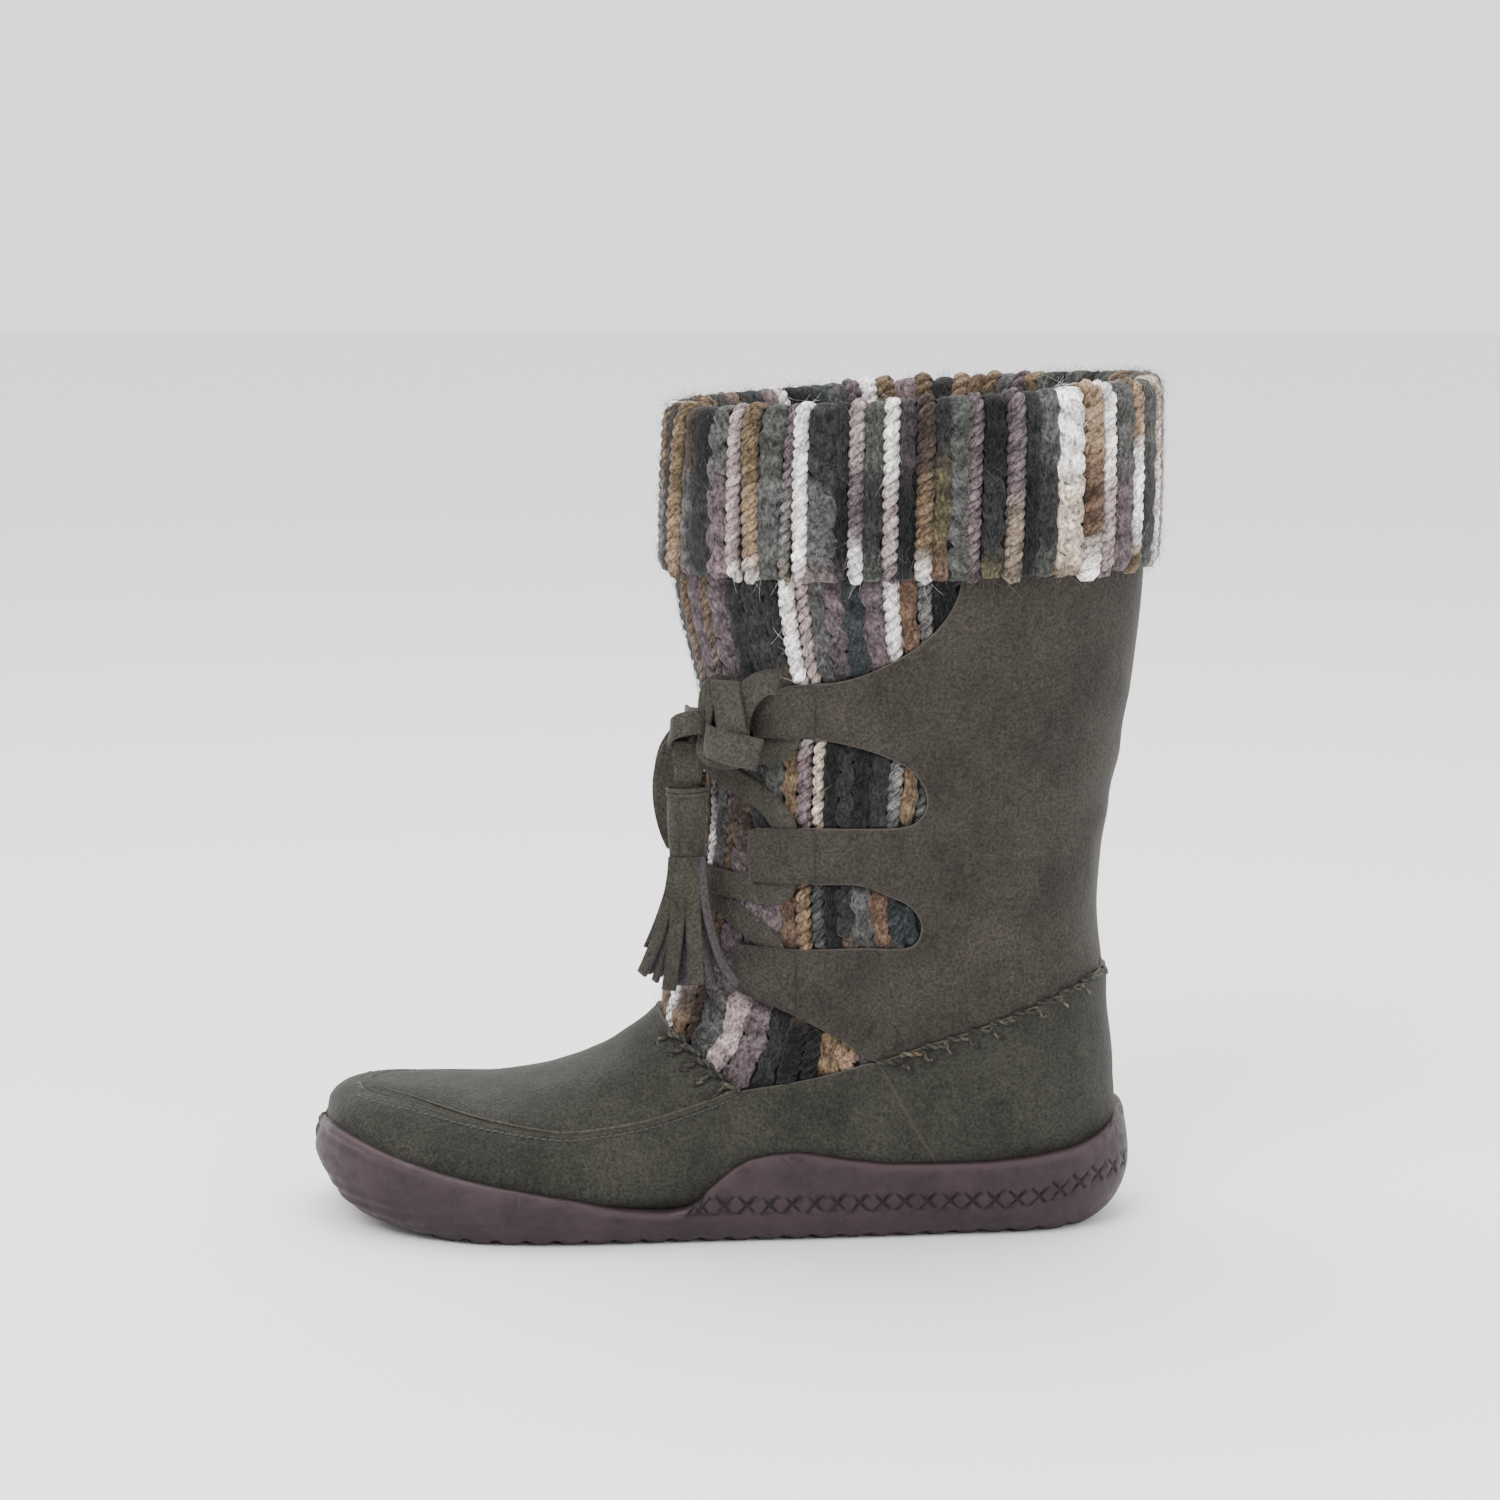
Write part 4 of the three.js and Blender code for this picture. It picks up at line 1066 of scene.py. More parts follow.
def tread(on):
    """Wavy grooves across the flat of the tread."""
    wave = np.sin((on[:, 0] + 3.2 * np.sin(on[:, 1] / 6.5)) * 2 * math.pi / 9.5)
    flat = np.clip(1 - (on[:, 2] - 0.3) / 2.5, 0, 1)
    return 1.3 * np.clip((wave - 0.35) * 3, 0, 1) * flat


def hump(value, middle, width):
    """A smooth hump of height 1 round a value."""
    return np.exp(-(((value - middle) / width) ** 2))


def outsole():
    """The cup sole, with a beaded top edge, X marks, a ridged forefoot and a wavy tread."""
    edge = even_edge(sole_top, 0, heel_station(sole_top), 1.1)
    edge[-1, 1] = math.pi
    nose = np.stack([np.linspace(-1, 0, 9)[1:-1], np.full(7, edge[0, 1])], -1)
    near = np.concatenate([nose, edge])
    far = mirrored(near, math.pi)[1:]
    tip = np.stack([np.full(12, -1.0), np.linspace(2 * math.pi - edge[0, 1], edge[0, 1], 12)], -1)
    marks = Marks()
    skin = Skin(
        np.concatenate([near, far, tip]), (0.07, 0.045), SOLE_OUTSIDE, True,
        marks.outline(0.2) + marks.outline(0.0),
    )
    u, phi = skin.at.T
    on = sole_point(u, phi)
    # The X marks' grooves: sunk into the rubber and, as painted shade, darker in colour.
    groove_and_shade = np.clip((MARK_STROKE + 0.2 - marks.distance(on)) / 0.2, 0, 1)
    bead = 0.85 * hump(skin.edge, 1.3, 1.0) - 0.35 * hump(skin.edge, 3.3, 0.6)
    low = np.clip((on[:, 2] - 1.5) / 4, 0, 1)
    from_marks = np.abs(on[:, 2] - mark_height(on[:, 0]))
    band = -0.35 * hump(from_marks, 3.8, 0.45) * np.clip((on[:, 0] + 14) / 8, 0, 1)
    forefoot = np.clip((-on[:, 0] - 10) / 30, 0, 1) * hump(on[:, 2], 9, 6)
    lines = on[:, 2] * 1.6 + 2.2 * np.sin(on[:, 0] / 9)
    ridges = 0.5 * np.sin(lines * 2 * math.pi / 6) * forefoot
    relief = (bead + band + ridges + 0.18 * ripples(on, 31, 16)) * low
    relief -= 2.4 * hump(skin.edge, 0, 3.2) * np.clip(1 - u / 0.5, 0, 1)
    outer = on_form(u, phi, SOLE_OUTSIDE + relief - MARK_DEPTH * groove_and_shade, True)
    outer[:, 2] = np.clip(outer[:, 2], 0, sole_top(outer[:, 0]) + 0.2) + tread(on)
    turned = np.abs(phi - math.pi)
    clamped = np.maximum(u, 0)
    top_out = math.pi - angle_at(clamped, sole_top, SOLE_OUTSIDE, True)
    top_in = math.pi - angle_at(clamped, sole_top, SOLE_INSIDE, False)
    turned = turned * top_in / np.maximum(top_out, 0.02)
    side = np.sign(math.pi - phi)
    inner = on_form(u, math.pi - np.minimum(turned, math.pi) * side, SOLE_INSIDE)
    inner[:, 2] = np.minimum(inner[:, 2], sole_top(inner[:, 0]))
    # Painted highlight along the bead just inside the sole's top edge.
    edge_wear_and_highlight = 0.75 * hump(skin.edge, 1.0, 1.2)
    made = skin.build(
        "outsole_rubber", RUBBER, outer, inner,
        {"wear_and_highlight": (edge_wear_and_highlight, np.zeros(len(edge_wear_and_highlight))), "groove_and_shade": (groove_and_shade, np.zeros(len(edge_wear_and_highlight)))},
    )
    settle(made, "outsole")


# ---------------------------------------------------------------------------
# Knit
# ---------------------------------------------------------------------------

YARN_COLOURS = {
    "white": (240, 236, 232), "cream": (190, 176, 158), "blush": (160, 144, 142),
    "mauve": (90, 79, 82), "pink": (112, 96, 98), "gold": (102, 86, 66), "tan": (136, 114, 92),
    "rust": (92, 73, 60), "olive": (80, 74, 56), "brown": (62, 51, 46), "green": (65, 67, 63),
    "grey": (76, 76, 75), "silver": (108, 106, 103), "teal": (46, 50, 52), "charcoal": (42, 42, 43),
    "black": (25, 25, 26), "beige": (118, 105, 92), "plum": (57, 50, 54), "sage": (86, 84, 72),
    "moss": (62, 61, 52),
}

# Yarns of the cuff from front to back as seen from the near side: kind, width seen, colours from
# the rim down to the hem.
CUFF_YARNS = (
    ("rope", 3.0, "white white gold"), ("rope", 3.2, "gold tan brown"),
    ("roving", 2.6, "brown grey mauve"), ("field", 6.0, "black charcoal teal"),
    ("wavy", 5.0, "grey mauve pink"), ("rope", 4.2, "blush blush white"),
    ("rope", 5.2, "gold tan white"), ("roving", 6.4, "green grey green"),
    ("rope", 3.6, "mauve silver gold"), ("rope", 4.8, "white white gold"),
    ("wavy", 7.6, "charcoal grey pink"), ("field", 3.6, "charcoal black plum"),
    ("rope", 4.8, "blush mauve white"), ("roving", 5.4, "green charcoal green"),
    ("rope", 5.0, "white blush mauve"), ("field", 4.6, "plum black charcoal"),
    ("rope", 5.4, "brown gold white"), ("roving", 4.6, "charcoal olive rust"),
    ("wavy", 6.2, "green grey green"), ("rope", 4.4, "mauve pink mauve"),
    ("field", 5.6, "black charcoal olive"), ("rope", 5.6, "mauve beige silver"),
    ("field", 5.4, "charcoal black charcoal"), ("roving", 5.6, "grey charcoal green"),
    ("wavy", 6.4, "white cream gold"), ("rope", 6.0, "tan rust white"),
    ("rope", 4.8, "white blush mauve"), ("roving", 5.6, "grey mauve mauve"),
    ("rope", 3.4, "tan white gold"), ("field", 4.4, "green charcoal green"),
    ("rope", 3.4, "cream white gold"),
)

# Yarns of the sleeve from the front edge back, with colours from the cuff down to the foot.
SLEEVE_YARNS = (
    ("roving", 3.0, "grey grey charcoal grey gold"), ("roving", 3.6, "mauve mauve grey mauve gold"),
    ("rope", 2.6, "gold gold mauve gold brown"), ("wavy", 5.0, "grey mauve brown mauve grey"),
    ("roving", 5.0, "brown charcoal charcoal mauve blush"),
    ("field", 6.4, "black charcoal green mauve mauve"),
    ("field", 4.6, "charcoal charcoal gold rust charcoal"),
    ("rope", 5.2, "white white pink gold black"), ("rope", 4.2, "blush blush cream green black"),
    ("roving", 4.6, "brown grey black black gold"),
    ("wavy", 5.0, "white mauve charcoal charcoal tan"),
    ("field", 6.4, "charcoal teal black grey mauve"),
    ("roving", 6.0, "mauve mauve charcoal rust white"),
    ("rope", 5.2, "white white silver teal charcoal"), ("roving", 5.0, "gold rust gold teal plum"),
    ("rope", 4.6, "mauve silver grey charcoal white"),
    ("field", 7.0, "charcoal black charcoal black black"),
    ("roving", 8.0, "grey charcoal grey grey cream"),
)
COLOUR_HEIGHTS = (250, 205, 150, 105, 60)  # where each of a sleeve yarn's colours is at its purest

# By kind of yarn: how wide it lies, and its loose fibres a millimetre.
WIDTHS = {"rope": 4.3, "roving": 5.0, "field": 5.4, "wavy": 5.8}
FUZZ_EACH_MM = {"rope": 0.8, "roving": 2.4, "field": 3.6, "wavy": 2.4}
# The softer kinds: how far they wander, how long a wave is, and how much they swell.
SOFT = {"roving": (0.35, 15.0, 0.12), "field": (0.5, 11.0, 0.16), "wavy": (1.05, 8.6, 0.2)}
ROUTE_SCALE = [25, 1, 1]  # rough millimetres per station, for even steps along a route

# How the yarns and their felted ground turn over the rim: station, height over the form, and rise.

CUFF_ROUTE = np.array([
    [18.5, 2.6, 0], [18.28, 3.2, -0.9], [18.22, 4.3, -0.7], [18.33, 5.2, 0], [18.7, 5.1, 0],
    [19.4, 5.0, 0], [20, 4.8, 0], [20, 4.5, 2.6], [20, 3.4, 4.5], [20, 1.5, 5.3],
    [20, -0.8, 4.8], [20, -2.8, 3.0],
    [19.9, -3.9, 0], [19.3, -4.3, 0], [18.75, -4.3, 0],
])
BASE_ROUTE = np.array([
    [19.7, -4.0, 0], [19.95, -3.7, 0], [20, -3.0, 2.2], [20, -0.9, 4.0],
    [20, 1.5, 4.5], [20, 3.3, 3.6],
    [20, 4.1, 1.6], [20, 4.3, 0], [19.0, 4.3, 0], [18.45, 4.4, 0],
    [18.31, 3.7, -0.2], [18.36, 3.0, 0],
    [18.6, 2.7, 0], [19.4, 2.5, 0], [19.75, 2.3, 0], [19.8, 1.2, 0], [19.7, -0.9, 0],
])


def colour_of(name):
    """A yarn colour as linear RGB."""
    return np.array(linear(YARN_COLOURS[name])[:3])


def lifted(u, phi, off, lift):
    """Points of the form, raised by a height."""
    points = on_form(u, phi, off)
    points[..., 2] += lift
    return points


def spread_yarns(listing, off, station, front, back):
    """Turns a listing into yarns all round the leg: kind, angle, angle width, colours."""
    share = np.cumsum([0] + [width for _, width, _ in listing], dtype=float)
    edges = front + (back - front) * share / share[-1]
    angles = np.linspace(0, math.pi, 721)
    seen = on_form(station, angles, off)[:, 0]
    phis = np.interp(edges, seen, angles)
    around = lengths(on_form(station, angles, off))
    yarns = []

    def fill(low, high, pick):
        """Fills a gap with as many yarns as fit."""
        arc = abs(np.interp(abs(high), angles, around) - np.interp(abs(low), angles, around))
        kind, _, colours = pick()
        count = max(1, int(round(arc / WIDTHS[kind])))
        steps = np.linspace(low, high, count + 1)
        for i in range(count):
            if i:
                kind, _, colours = pick()
            middle, span = (steps[i] + steps[i + 1]) / 2, abs(steps[i + 1] - steps[i])
            yarns.append((kind, middle, span, colours.split()))

    def any_yarn():
        """A yarn like the listed ones."""
        kind, width, colours = listing[rng.integers(len(listing))]
        return (kind, width, " ".join(colours.split()[:: rng.choice((-1, 1))]))

    for i, row in enumerate(listing):
        arc = np.interp(phis[i + 1], angles, around) - np.interp(phis[i], angles, around)
        if arc > 1.7 * WIDTHS[row[0]]:
            queue = [row]
            fill(phis[i], phis[i + 1], lambda: queue.pop() if queue else any_yarn())
        else:
            middle, span = (phis[i] + phis[i + 1]) / 2, phis[i + 1] - phis[i]
            yarns.append((row[0], middle, span, row[2].split()))
    if phis[-1] < math.pi - 0.05:
        fill(phis[-1], math.pi, any_yarn)
    if phis[0] > 0.05:
        fill(0, phis[0], any_yarn)
    fill(0, -math.pi, any_yarn)
    return yarns


def graded(colours, share):
    """Colours at shares of a yarn's run, changing fairly sharply from one to the next."""
    at = np.clip(share, 0, 1) * (len(colours) - 1)
    step = np.floor(at).astype(int)
    part = np.clip((at - step - 0.5) * 2.6 + 0.5, 0, 1)
    table = np.array([colour_of(c) for c in colours] + [colour_of(colours[-1])])
    return table[step] + (table[step + 1] - table[step]) * part[:, None]


def mottled(tint, at):
    """Wool colours that come and go along the yarn."""
    first, second = rng.uniform(0, 7, 2)
    return tint * (1 + 0.2 * np.sin(at / 1.5 + first) + 0.14 * np.sin(at / 0.62 + second))[:, None]


def spin(gather, kind, line, out, width, tint, seed):
    """One yarn: a two-ply rope with painted shade where each ply turns under, or a soft roving that
    swells and wanders.
    """
    at = lengths(line)
    side = unit(np.cross(tangents(line), out))
    phase = rng.uniform(0, 7)
    tint = mottled(tint, at)
    if kind == "rope":
        pitch = rng.uniform(6.0, 7.4)
        for ply in (0, math.pi):
            turn = -2 * math.pi * at / pitch + ply + phase
            reach = width[:, None] * 0.235
            away = np.cos(turn)[:, None] * side + 0.8 * np.sin(turn)[:, None] * out
            centre = line + reach * away
            swell = 0.29 * width * (1 + 0.1 * np.sin(at / 1.9 + ply * 3 + phase))
            shade = tint * rng.uniform(0.86, 1.12)
            shade = shade * (1 + 0.14 * np.sin(at * 0.9 + ply + phase))[:, None]
            # Painted shade: the ply's colour darkens where it turns under, between the plies.
            gap = 0.32 + 0.68 * np.clip((np.sin(turn) + 0.45) / 1.1, 0, 1)
            profile = circle(1.0, 7)[None] * swell[:, None, None]
            gather.sweep(centre, out, profile, shade * gap[:, None], seed + ply)
        return
    sway, period, plump = SOFT[kind]
    turn = 2 * math.pi * at / (period * rng.uniform(0.85, 1.2)) + phase
    wide = width * (0.56 + plump * 0.6 * np.sin(turn + 1.2) + 0.06 * np.sin(2.3 * turn))
    thick = np.minimum(wide, 2.1) * (0.66 + 0.1 * np.sin(1.7 * turn + 2))
    if kind == "field":
        thick = thick * 0.8
    centre = line + side * (sway * np.sin(turn))[:, None]
    profile = circle(1.0, 12)[None] * np.stack([wide, thick], -1)[:, None]
    shade = tint * (1 + 0.1 * np.sin(turn * 0.7))[:, None]
    gather.sweep(centre, out, profile, shade, seed)


FIBRE_RADIUS = 0.036


class Fuzz:
    """Loose wool fibres, as thin closed prisms, gathered for one object."""

    def __init__(self):
        self.starts, self.ways, self.outs, self.tints, self.longs = [], [], [], [], []

    def scatter(self, line, out, width, tint, each_mm):
        count = rng.poisson(lengths(line)[-1] * each_mm)
        if not count:
            return
        pick = rng.integers(0, len(line), count)
        along, up = tangents(line)[pick], out[pick]
        side = unit(np.cross(along, up))
        across = rng.uniform(-0.62, 0.62, (count, 1))
        lean = rng.normal(0, 0.5, (count, 1))
        ends = rng.choice((-1.0, 1.0), (count, 1))
        rise = rng.exponential(0.16, (count, 1)) + 0.04
        wide = width[pick][:, None]
        self.starts.append(line[pick] + side * across * wide + up * 0.42 * wide)
        self.ways.append(unit(along * ends + side * lean + up * rise))
        self.outs.append(unit(up + side * rng.normal(0, 0.5, (count, 1))))
        self.tints.append(np.clip(tint[pick] * rng.uniform(0.8, 1.7, (count, 1)) + 0.02, 0, 1))
        self.longs.append(rng.uniform(2.5, 8.0, (count, 1)))

    def build(self, name):
        start, way, out = (np.concatenate(v) for v in (self.starts, self.ways, self.outs))
        tint, long = np.concatenate(self.tints), np.concatenate(self.longs)
        side = unit(np.cross(way, out))
        bend = rng.normal(0, 0.24, (len(start), 1))
        count, rings = len(start), []
        for share, thin in ((0, 1.0), (0.35, 1.0), (0.7, 0.8), (1.0, 0.35)):
            centre = start + way * long * share + (side * bend - out * 0.1) * long * share**2
            for corner in range(3):
                angle = corner * 2 * math.pi / 3
                away = math.cos(angle) * side + math.sin(angle) * out
                rings.append(centre + FIBRE_RADIUS * thin * away)
        points = np.stack(rings, 1).reshape(-1, 3)
        pattern = [[2, 1, 0], [9, 10, 11]]
        walls = [
            [r * 3 + c, r * 3 + (c + 1) % 3, r * 3 + 3 + (c + 1) % 3, r * 3 + 3 + c]
            for r in range(3) for c in range(3)
        ]
        base = np.arange(count)[:, None] * len(rings)
        faces = []
        for corners in pattern + walls:
            faces += (base + np.array(corners)).tolist()
        made = new_object(name, points, faces, WOOL)
        add_attribute(made, "tint", np.repeat(tint, len(rings), axis=0))
        add_attribute(made, "yarn_place", np.repeat(start * 0.2, len(rings), axis=0))
        settle(made)


def cuff(fuzz):
    """The yarns of the cuff, from inside the rim over it and down to the hem."""
    ropes, rovings = Mesh(), Mesh()
    route = smooth(CUFF_ROUTE * ROUTE_SCALE, 0.7) / ROUTE_SCALE
    front, back = on_form(19.2, np.array([0, math.pi]), 6.2)[:, 0]
    yarns = spread_yarns(CUFF_YARNS, 6.2, 19.2, front, back)
    for number, (kind, phi, span, colours) in enumerate(yarns):
        wobble = rng.normal(0, 0.12) * span
        lean = phi + wobble * np.sin(np.linspace(0, 3, len(route)) + rng.uniform(0, 6))
        line = lifted(route[:, 0], lean, route[:, 1], route[:, 2])
        line = resampled(line, 0.75 if kind == "rope" else 1.0)
        beside = lifted(route[:, 0], phi + span / 2, route[:, 1], route[:, 2])
        before = lifted(route[:, 0], phi - span / 2, route[:, 1], route[:, 2])
        want, at = np.linspace(0, 1, len(line)), np.linspace(0, 1, len(route))
        width = read_off(want, at, np.linalg.norm(beside - before, axis=1))
        around = read_off(want, at, unit(beside - before))
        out = unit(np.cross(around, tangents(line)))
        width = np.minimum(width, 9.0) * 1.04
        share = want + rng.normal(0, 0.03)
        tint = graded(colours[::-1] + 2 * colours[:1], share)
        tint = tint * rng.uniform(0.92, 1.08)
        spin(ropes if kind == "rope" else rovings, kind, line, out, width, tint, number * 7.3)
        shown = slice(0, int(len(line) * 0.82))
        fuzz.scatter(line[shown], out[shown], width[shown] * 0.6, tint[shown], FUZZ_EACH_MM[kind])
    ropes.build("cuff_ropes", WOOL, "wool")
    rovings.build("cuff_rovings", WOOL, "wool")


def side_distance(points, line):
    """Distance of side-view points from a polyline."""
    line = resampled(line, 1.0)
    best = np.full(len(points), 1e9)
    for a in line:
        best = np.minimum(best, ((points - a) ** 2).sum(1))
    return np.sqrt(best)


LOW_BACK = 62.0  # yarns behind this line hang straight; those in front lean with the boot's front


def sleeve_yarns(fuzz):
    """The yarns of the sleeve, cut short where the leather covers them."""
    ropes, rovings = Mesh(), Mesh()
    below = np.concatenate([THROAT[::-1], WINDOW_FOOT[1:], FOXING_TOP[1:]])
    yarns = spread_yarns(SLEEVE_YARNS, 0.5, 18.0, -12.5, 82.0)
    for number, (kind, phi, span, colours) in enumerate(yarns):
        high = np.linspace(19.0, 12.0, 230)
        start = on_form(12.0, phi, 0.0)
        z = np.linspace(start[2], 40.0, 190)[1:]
        front_x = np.interp(z, STATIONS[:, 1], STATIONS[:, 0])
        share = (start[0] - front_x[0]) / (LOW_BACK - front_x[0])
        x = start[0] + max(1 - share, 0) ** 2.2 * (front_x - front_x[0])
        low_u, low_phi, reach = station_of(x, z)
        low_phi = np.where(reach < 1, low_phi, 0.0) * math.copysign(1, phi)
        if abs(phi) > 2.0:
            low_u, low_phi = np.linspace(12.0, 6.2, 190)[1:], np.full(189, phi)
        u = np.concatenate([high, low_u])
        sway = np.concatenate([np.full(len(high), phi), low_phi])
        flat = on_form(u, sway, 0.0)[:, [0, 2]]
        covered = inside(flat, QUARTER_OUTLINE)
        foot = flat[:, 1] < np.interp(flat[:, 0], *below.T)
        covered |= foot
        gap = np.minimum(side_distance(flat, QUARTER_FRONT), side_distance(flat, below))
        open_share = np.where(covered, 0, np.clip(gap / 4.5, 0, 1))
        keep = (~covered) | (gap < 3.5)
        off = -2.3 + 2.65 * open_share**0.6
        line = on_form(u, sway, off)
        beside = on_form(u, sway + span / 2, off)
        before = on_form(u, sway - span / 2, off)
        width = np.minimum(np.linalg.norm(beside - before, axis=1), 8.0) * 1.04
        heights = np.interp(flat[:, 1], COLOUR_HEIGHTS[::-1], (1, 0.75, 0.5, 0.25, 0))
        tint = graded(colours, heights + rng.normal(0, 0.03)) * rng.uniform(0.92, 1.08)
        runs = np.split(np.arange(len(u)), np.flatnonzero(np.diff(keep.astype(int))) + 1)
        for run in runs:
            at = lengths(line[run])
            if not keep[run[0]] or at[-1] < 5:
                continue
            want = np.linspace(0, at[-1], max(4, int(at[-1] / (0.75 if kind == "rope" else 1.0))))
            values = (line, unit(beside - before), width, tint)
            fine, around, wide, shade = (read_off(want, at, v[run]) for v in values)
            out = unit(np.cross(tangents(fine), around))
            gather = ropes if kind == "rope" else rovings
            spin(gather, kind, fine, out, wide, shade, number * 5.1)
            fuzz.scatter(fine, out, wide * 0.6, shade, FUZZ_EACH_MM[kind])
    ropes.build("sleeve_ropes", WOOL, "wool")
    rovings.build("sleeve_rovings", WOOL, "wool")


def knit_base():
    """The felted ground that the yarns lie on: sleeve wall, fold over the rim and the cuff."""
    phi = np.linspace(-math.pi, math.pi, 190, endpoint=False)

    def above(u):
        p = on_form(u, phi, 0.0)
        return p[:, 2] > np.interp(p[:, 0], *SLEEVE_BOTTOM.T)

    bottom = halved(np.zeros(len(phi)), np.full(len(phi), 15.0), 36, above)
    route = smooth(BASE_ROUTE * ROUTE_SCALE, 1.6) / ROUTE_SCALE
    share = np.linspace(0, 1, 60)
    rings = [on_form(bottom + (19.7 - bottom) * s, phi, -4.0) for s in share[:-1]]
    rings += [lifted(u, phi, off, lift) for u, off, lift in route]
    rings += [on_form(bottom + (19.7 - bottom) * s, phi, -0.9) for s in share[::-1][1:]]
    quads = ring_quads(len(rings), len(phi), closed=True)
    points = np.concatenate(rings)
    if inside_out(points, quads):
        quads = quads[:, ::-1]
    made = new_object("knit_ground", points, quads.tolist(), WOOL_BASE)
    settle(made, "knit_sleeve")


# ---------------------------------------------------------------------------
# Laces, knot and tassels
# ---------------------------------------------------------------------------

LACE_WIDTH = 8.5
LACE_THICK = 1.3

# Station, degrees round from the front, and height over the form.
LACE_ROUTE = np.array([
    [10.8, 49, 2.25], [11.25, 50.5, 2.25], [11.65, 49.5, 2.2], [11.95, 41, 1.6], [12.3, 24, 1.5],
    [12.6, 0, 1.5], [12.74, -20, 1.5], [12.78, -40, 1.6], [12.82, -49.5, 2.1], [13.0, -53.5, 2.25],
    [13.5, -54, 2.25], [13.95, -54, 2.25], [14.2, -51, 2.0], [14.5, -42, 1.5], [14.8, -24, 1.5],
    [15.05, 0, 1.5], [15.18, 22, 1.5], [15.2, 40, 1.7], [15.26, 50, 2.1], [15.44, 54.5, 2.25],
    [15.95, 55, 2.25], [16.35, 54.5, 2.25],
])
CROSSINGS = (12.6, 15.05)  # stations where the laces cross in front
CROSSING_LIFT = 2.2  # the second lace passes over the first

# Ribbons of the knot: width, then x, y, z of the middle line and which way its face looks.
KNOT_RIBBONS = {
    "from_strap": (8.5, [
        [22, -36.0, 174, 0, -1, 0.1], [21, -37.6, 180, 0, -1, 0.3],
        [17, -38.6, 182.4, -0.1, -1, 0.5],
        [11.5, -39.2, 180.6, -0.2, -1, 0.3], [7.5, -39.4, 175.5, -0.1, -1, 0],
        [5.5, -38.6, 169, 0, -1, 0],
        [5.0, -36.5, 163, 0, -1, 0],
    ]),
    "dark_turn": (7.5, [
        [2.5, -32, 176, 0.2, -1, 0.6], [0.4, -35.2, 181.0, -0.2, -1, 0.5],
        [-3.0, -36.2, 178.0, -0.7, -0.8, 0], [-4.2, -36.0, 172, -0.8, -0.6, 0],
        [-3.8, -34.5, 166, -0.8, -0.6, 0], [-1.0, -33, 162, -0.6, -0.8, 0],
    ]),
    "over_knot": (9.0, [
        [3.5, -33.5, 177, 0, 1, 0.2], [2.4, -36.4, 181.8, 0, -0.2, 1],
        [2.2, -40.6, 181.2, 0, -0.8, 0.7],
        [2.7, -42.2, 177.0, 0, -1, 0.1], [3.8, -43.0, 171.5, 0, -1, 0],
        [4.4, -43.2, 166.5, 0, -1, 0],
        [4.0, -41.0, 160.5, 0, -1, -0.3], [3.4, -37.5, 158.5, 0, -0.6, -1],
    ]),
    "end_band": (10.4, [
        [-4.0, -34.5, 164.4, -0.9, -0.6, 0], [-3.4, -39.0, 163.8, -0.7, -0.8, 0],
        [-0.2, -43.4, 163.1, -0.3, -1, 0], [4.5, -45.0, 162.0, 0, -1, 0],
        [9.0, -44.4, 160.9, 0.1, -1, 0],
        [13.0, -43.6, 159.9, 0.1, -1, 0],
    ]),
    "under_band": (8.5, [
        [-2.0, -34.0, 166, -0.5, -1, 0.2], [-3.0, -37.2, 161.0, -0.3, -1, 0.2],
        [-0.5, -38.6, 159.0, 0, -1, -0.3], [4.5, -37.6, 158.2, 0, -1, -0.3],
        [9, -35.6, 160, 0, -1, 0],
    ]),
    "to_outer_tail": (7.6, [
        [0.0, -33.6, 168.6, 0, -1, 0.1], [-5.5, -37.2, 169.4, -0.1, -1, 0.1],
        [-10.8, -37.4, 168.8, -0.3, -1, 0.2], [-14.6, -34.4, 166.6, -1, -0.4, 0.2],
        [-14.6, -29.6, 163.6, -1, 0.5, 0.1], [-10.6, -27.4, 161.0, 0, 1, 0.1],
    ]),
    "round_front": (8.5, [
        [2, -35.5, 168, -0.4, -1, 0], [-4, -32.5, 168.5, -0.7, -0.8, 0],
        [-9.0, -22, 167.5, -1, -0.4, 0], [-10.6, -8, 166, -1, 0, 0], [-10.8, 8, 163.5, -1, 0, 0],
        [-10.8, 18, 161.5, -1, 0.2, 0], [-11.4, 27, 160.0, -0.9, 0.5, 0],
        [-10.8, 33.4, 158.8, -0.4, 0.9, 0], [-6.4, 34.2, 158.2, 0.6, 0.8, 0],
        [-4.6, 30.4, 157.6, 1, -0.2, 0], [-8.6, 26.2, 156.4, 0, -1, 0],
    ]),
}
TAIL_X = -10.0
# Where each hanging end is: y, height of its pivot, and which way it faces.
TAILS = {"outer": (-31.0, 156.0, -1), "inner": (28.0, 149.5, 1)}
TAIL_DROP = 13.9  # from a tail's pivot down to its tassel's pivot

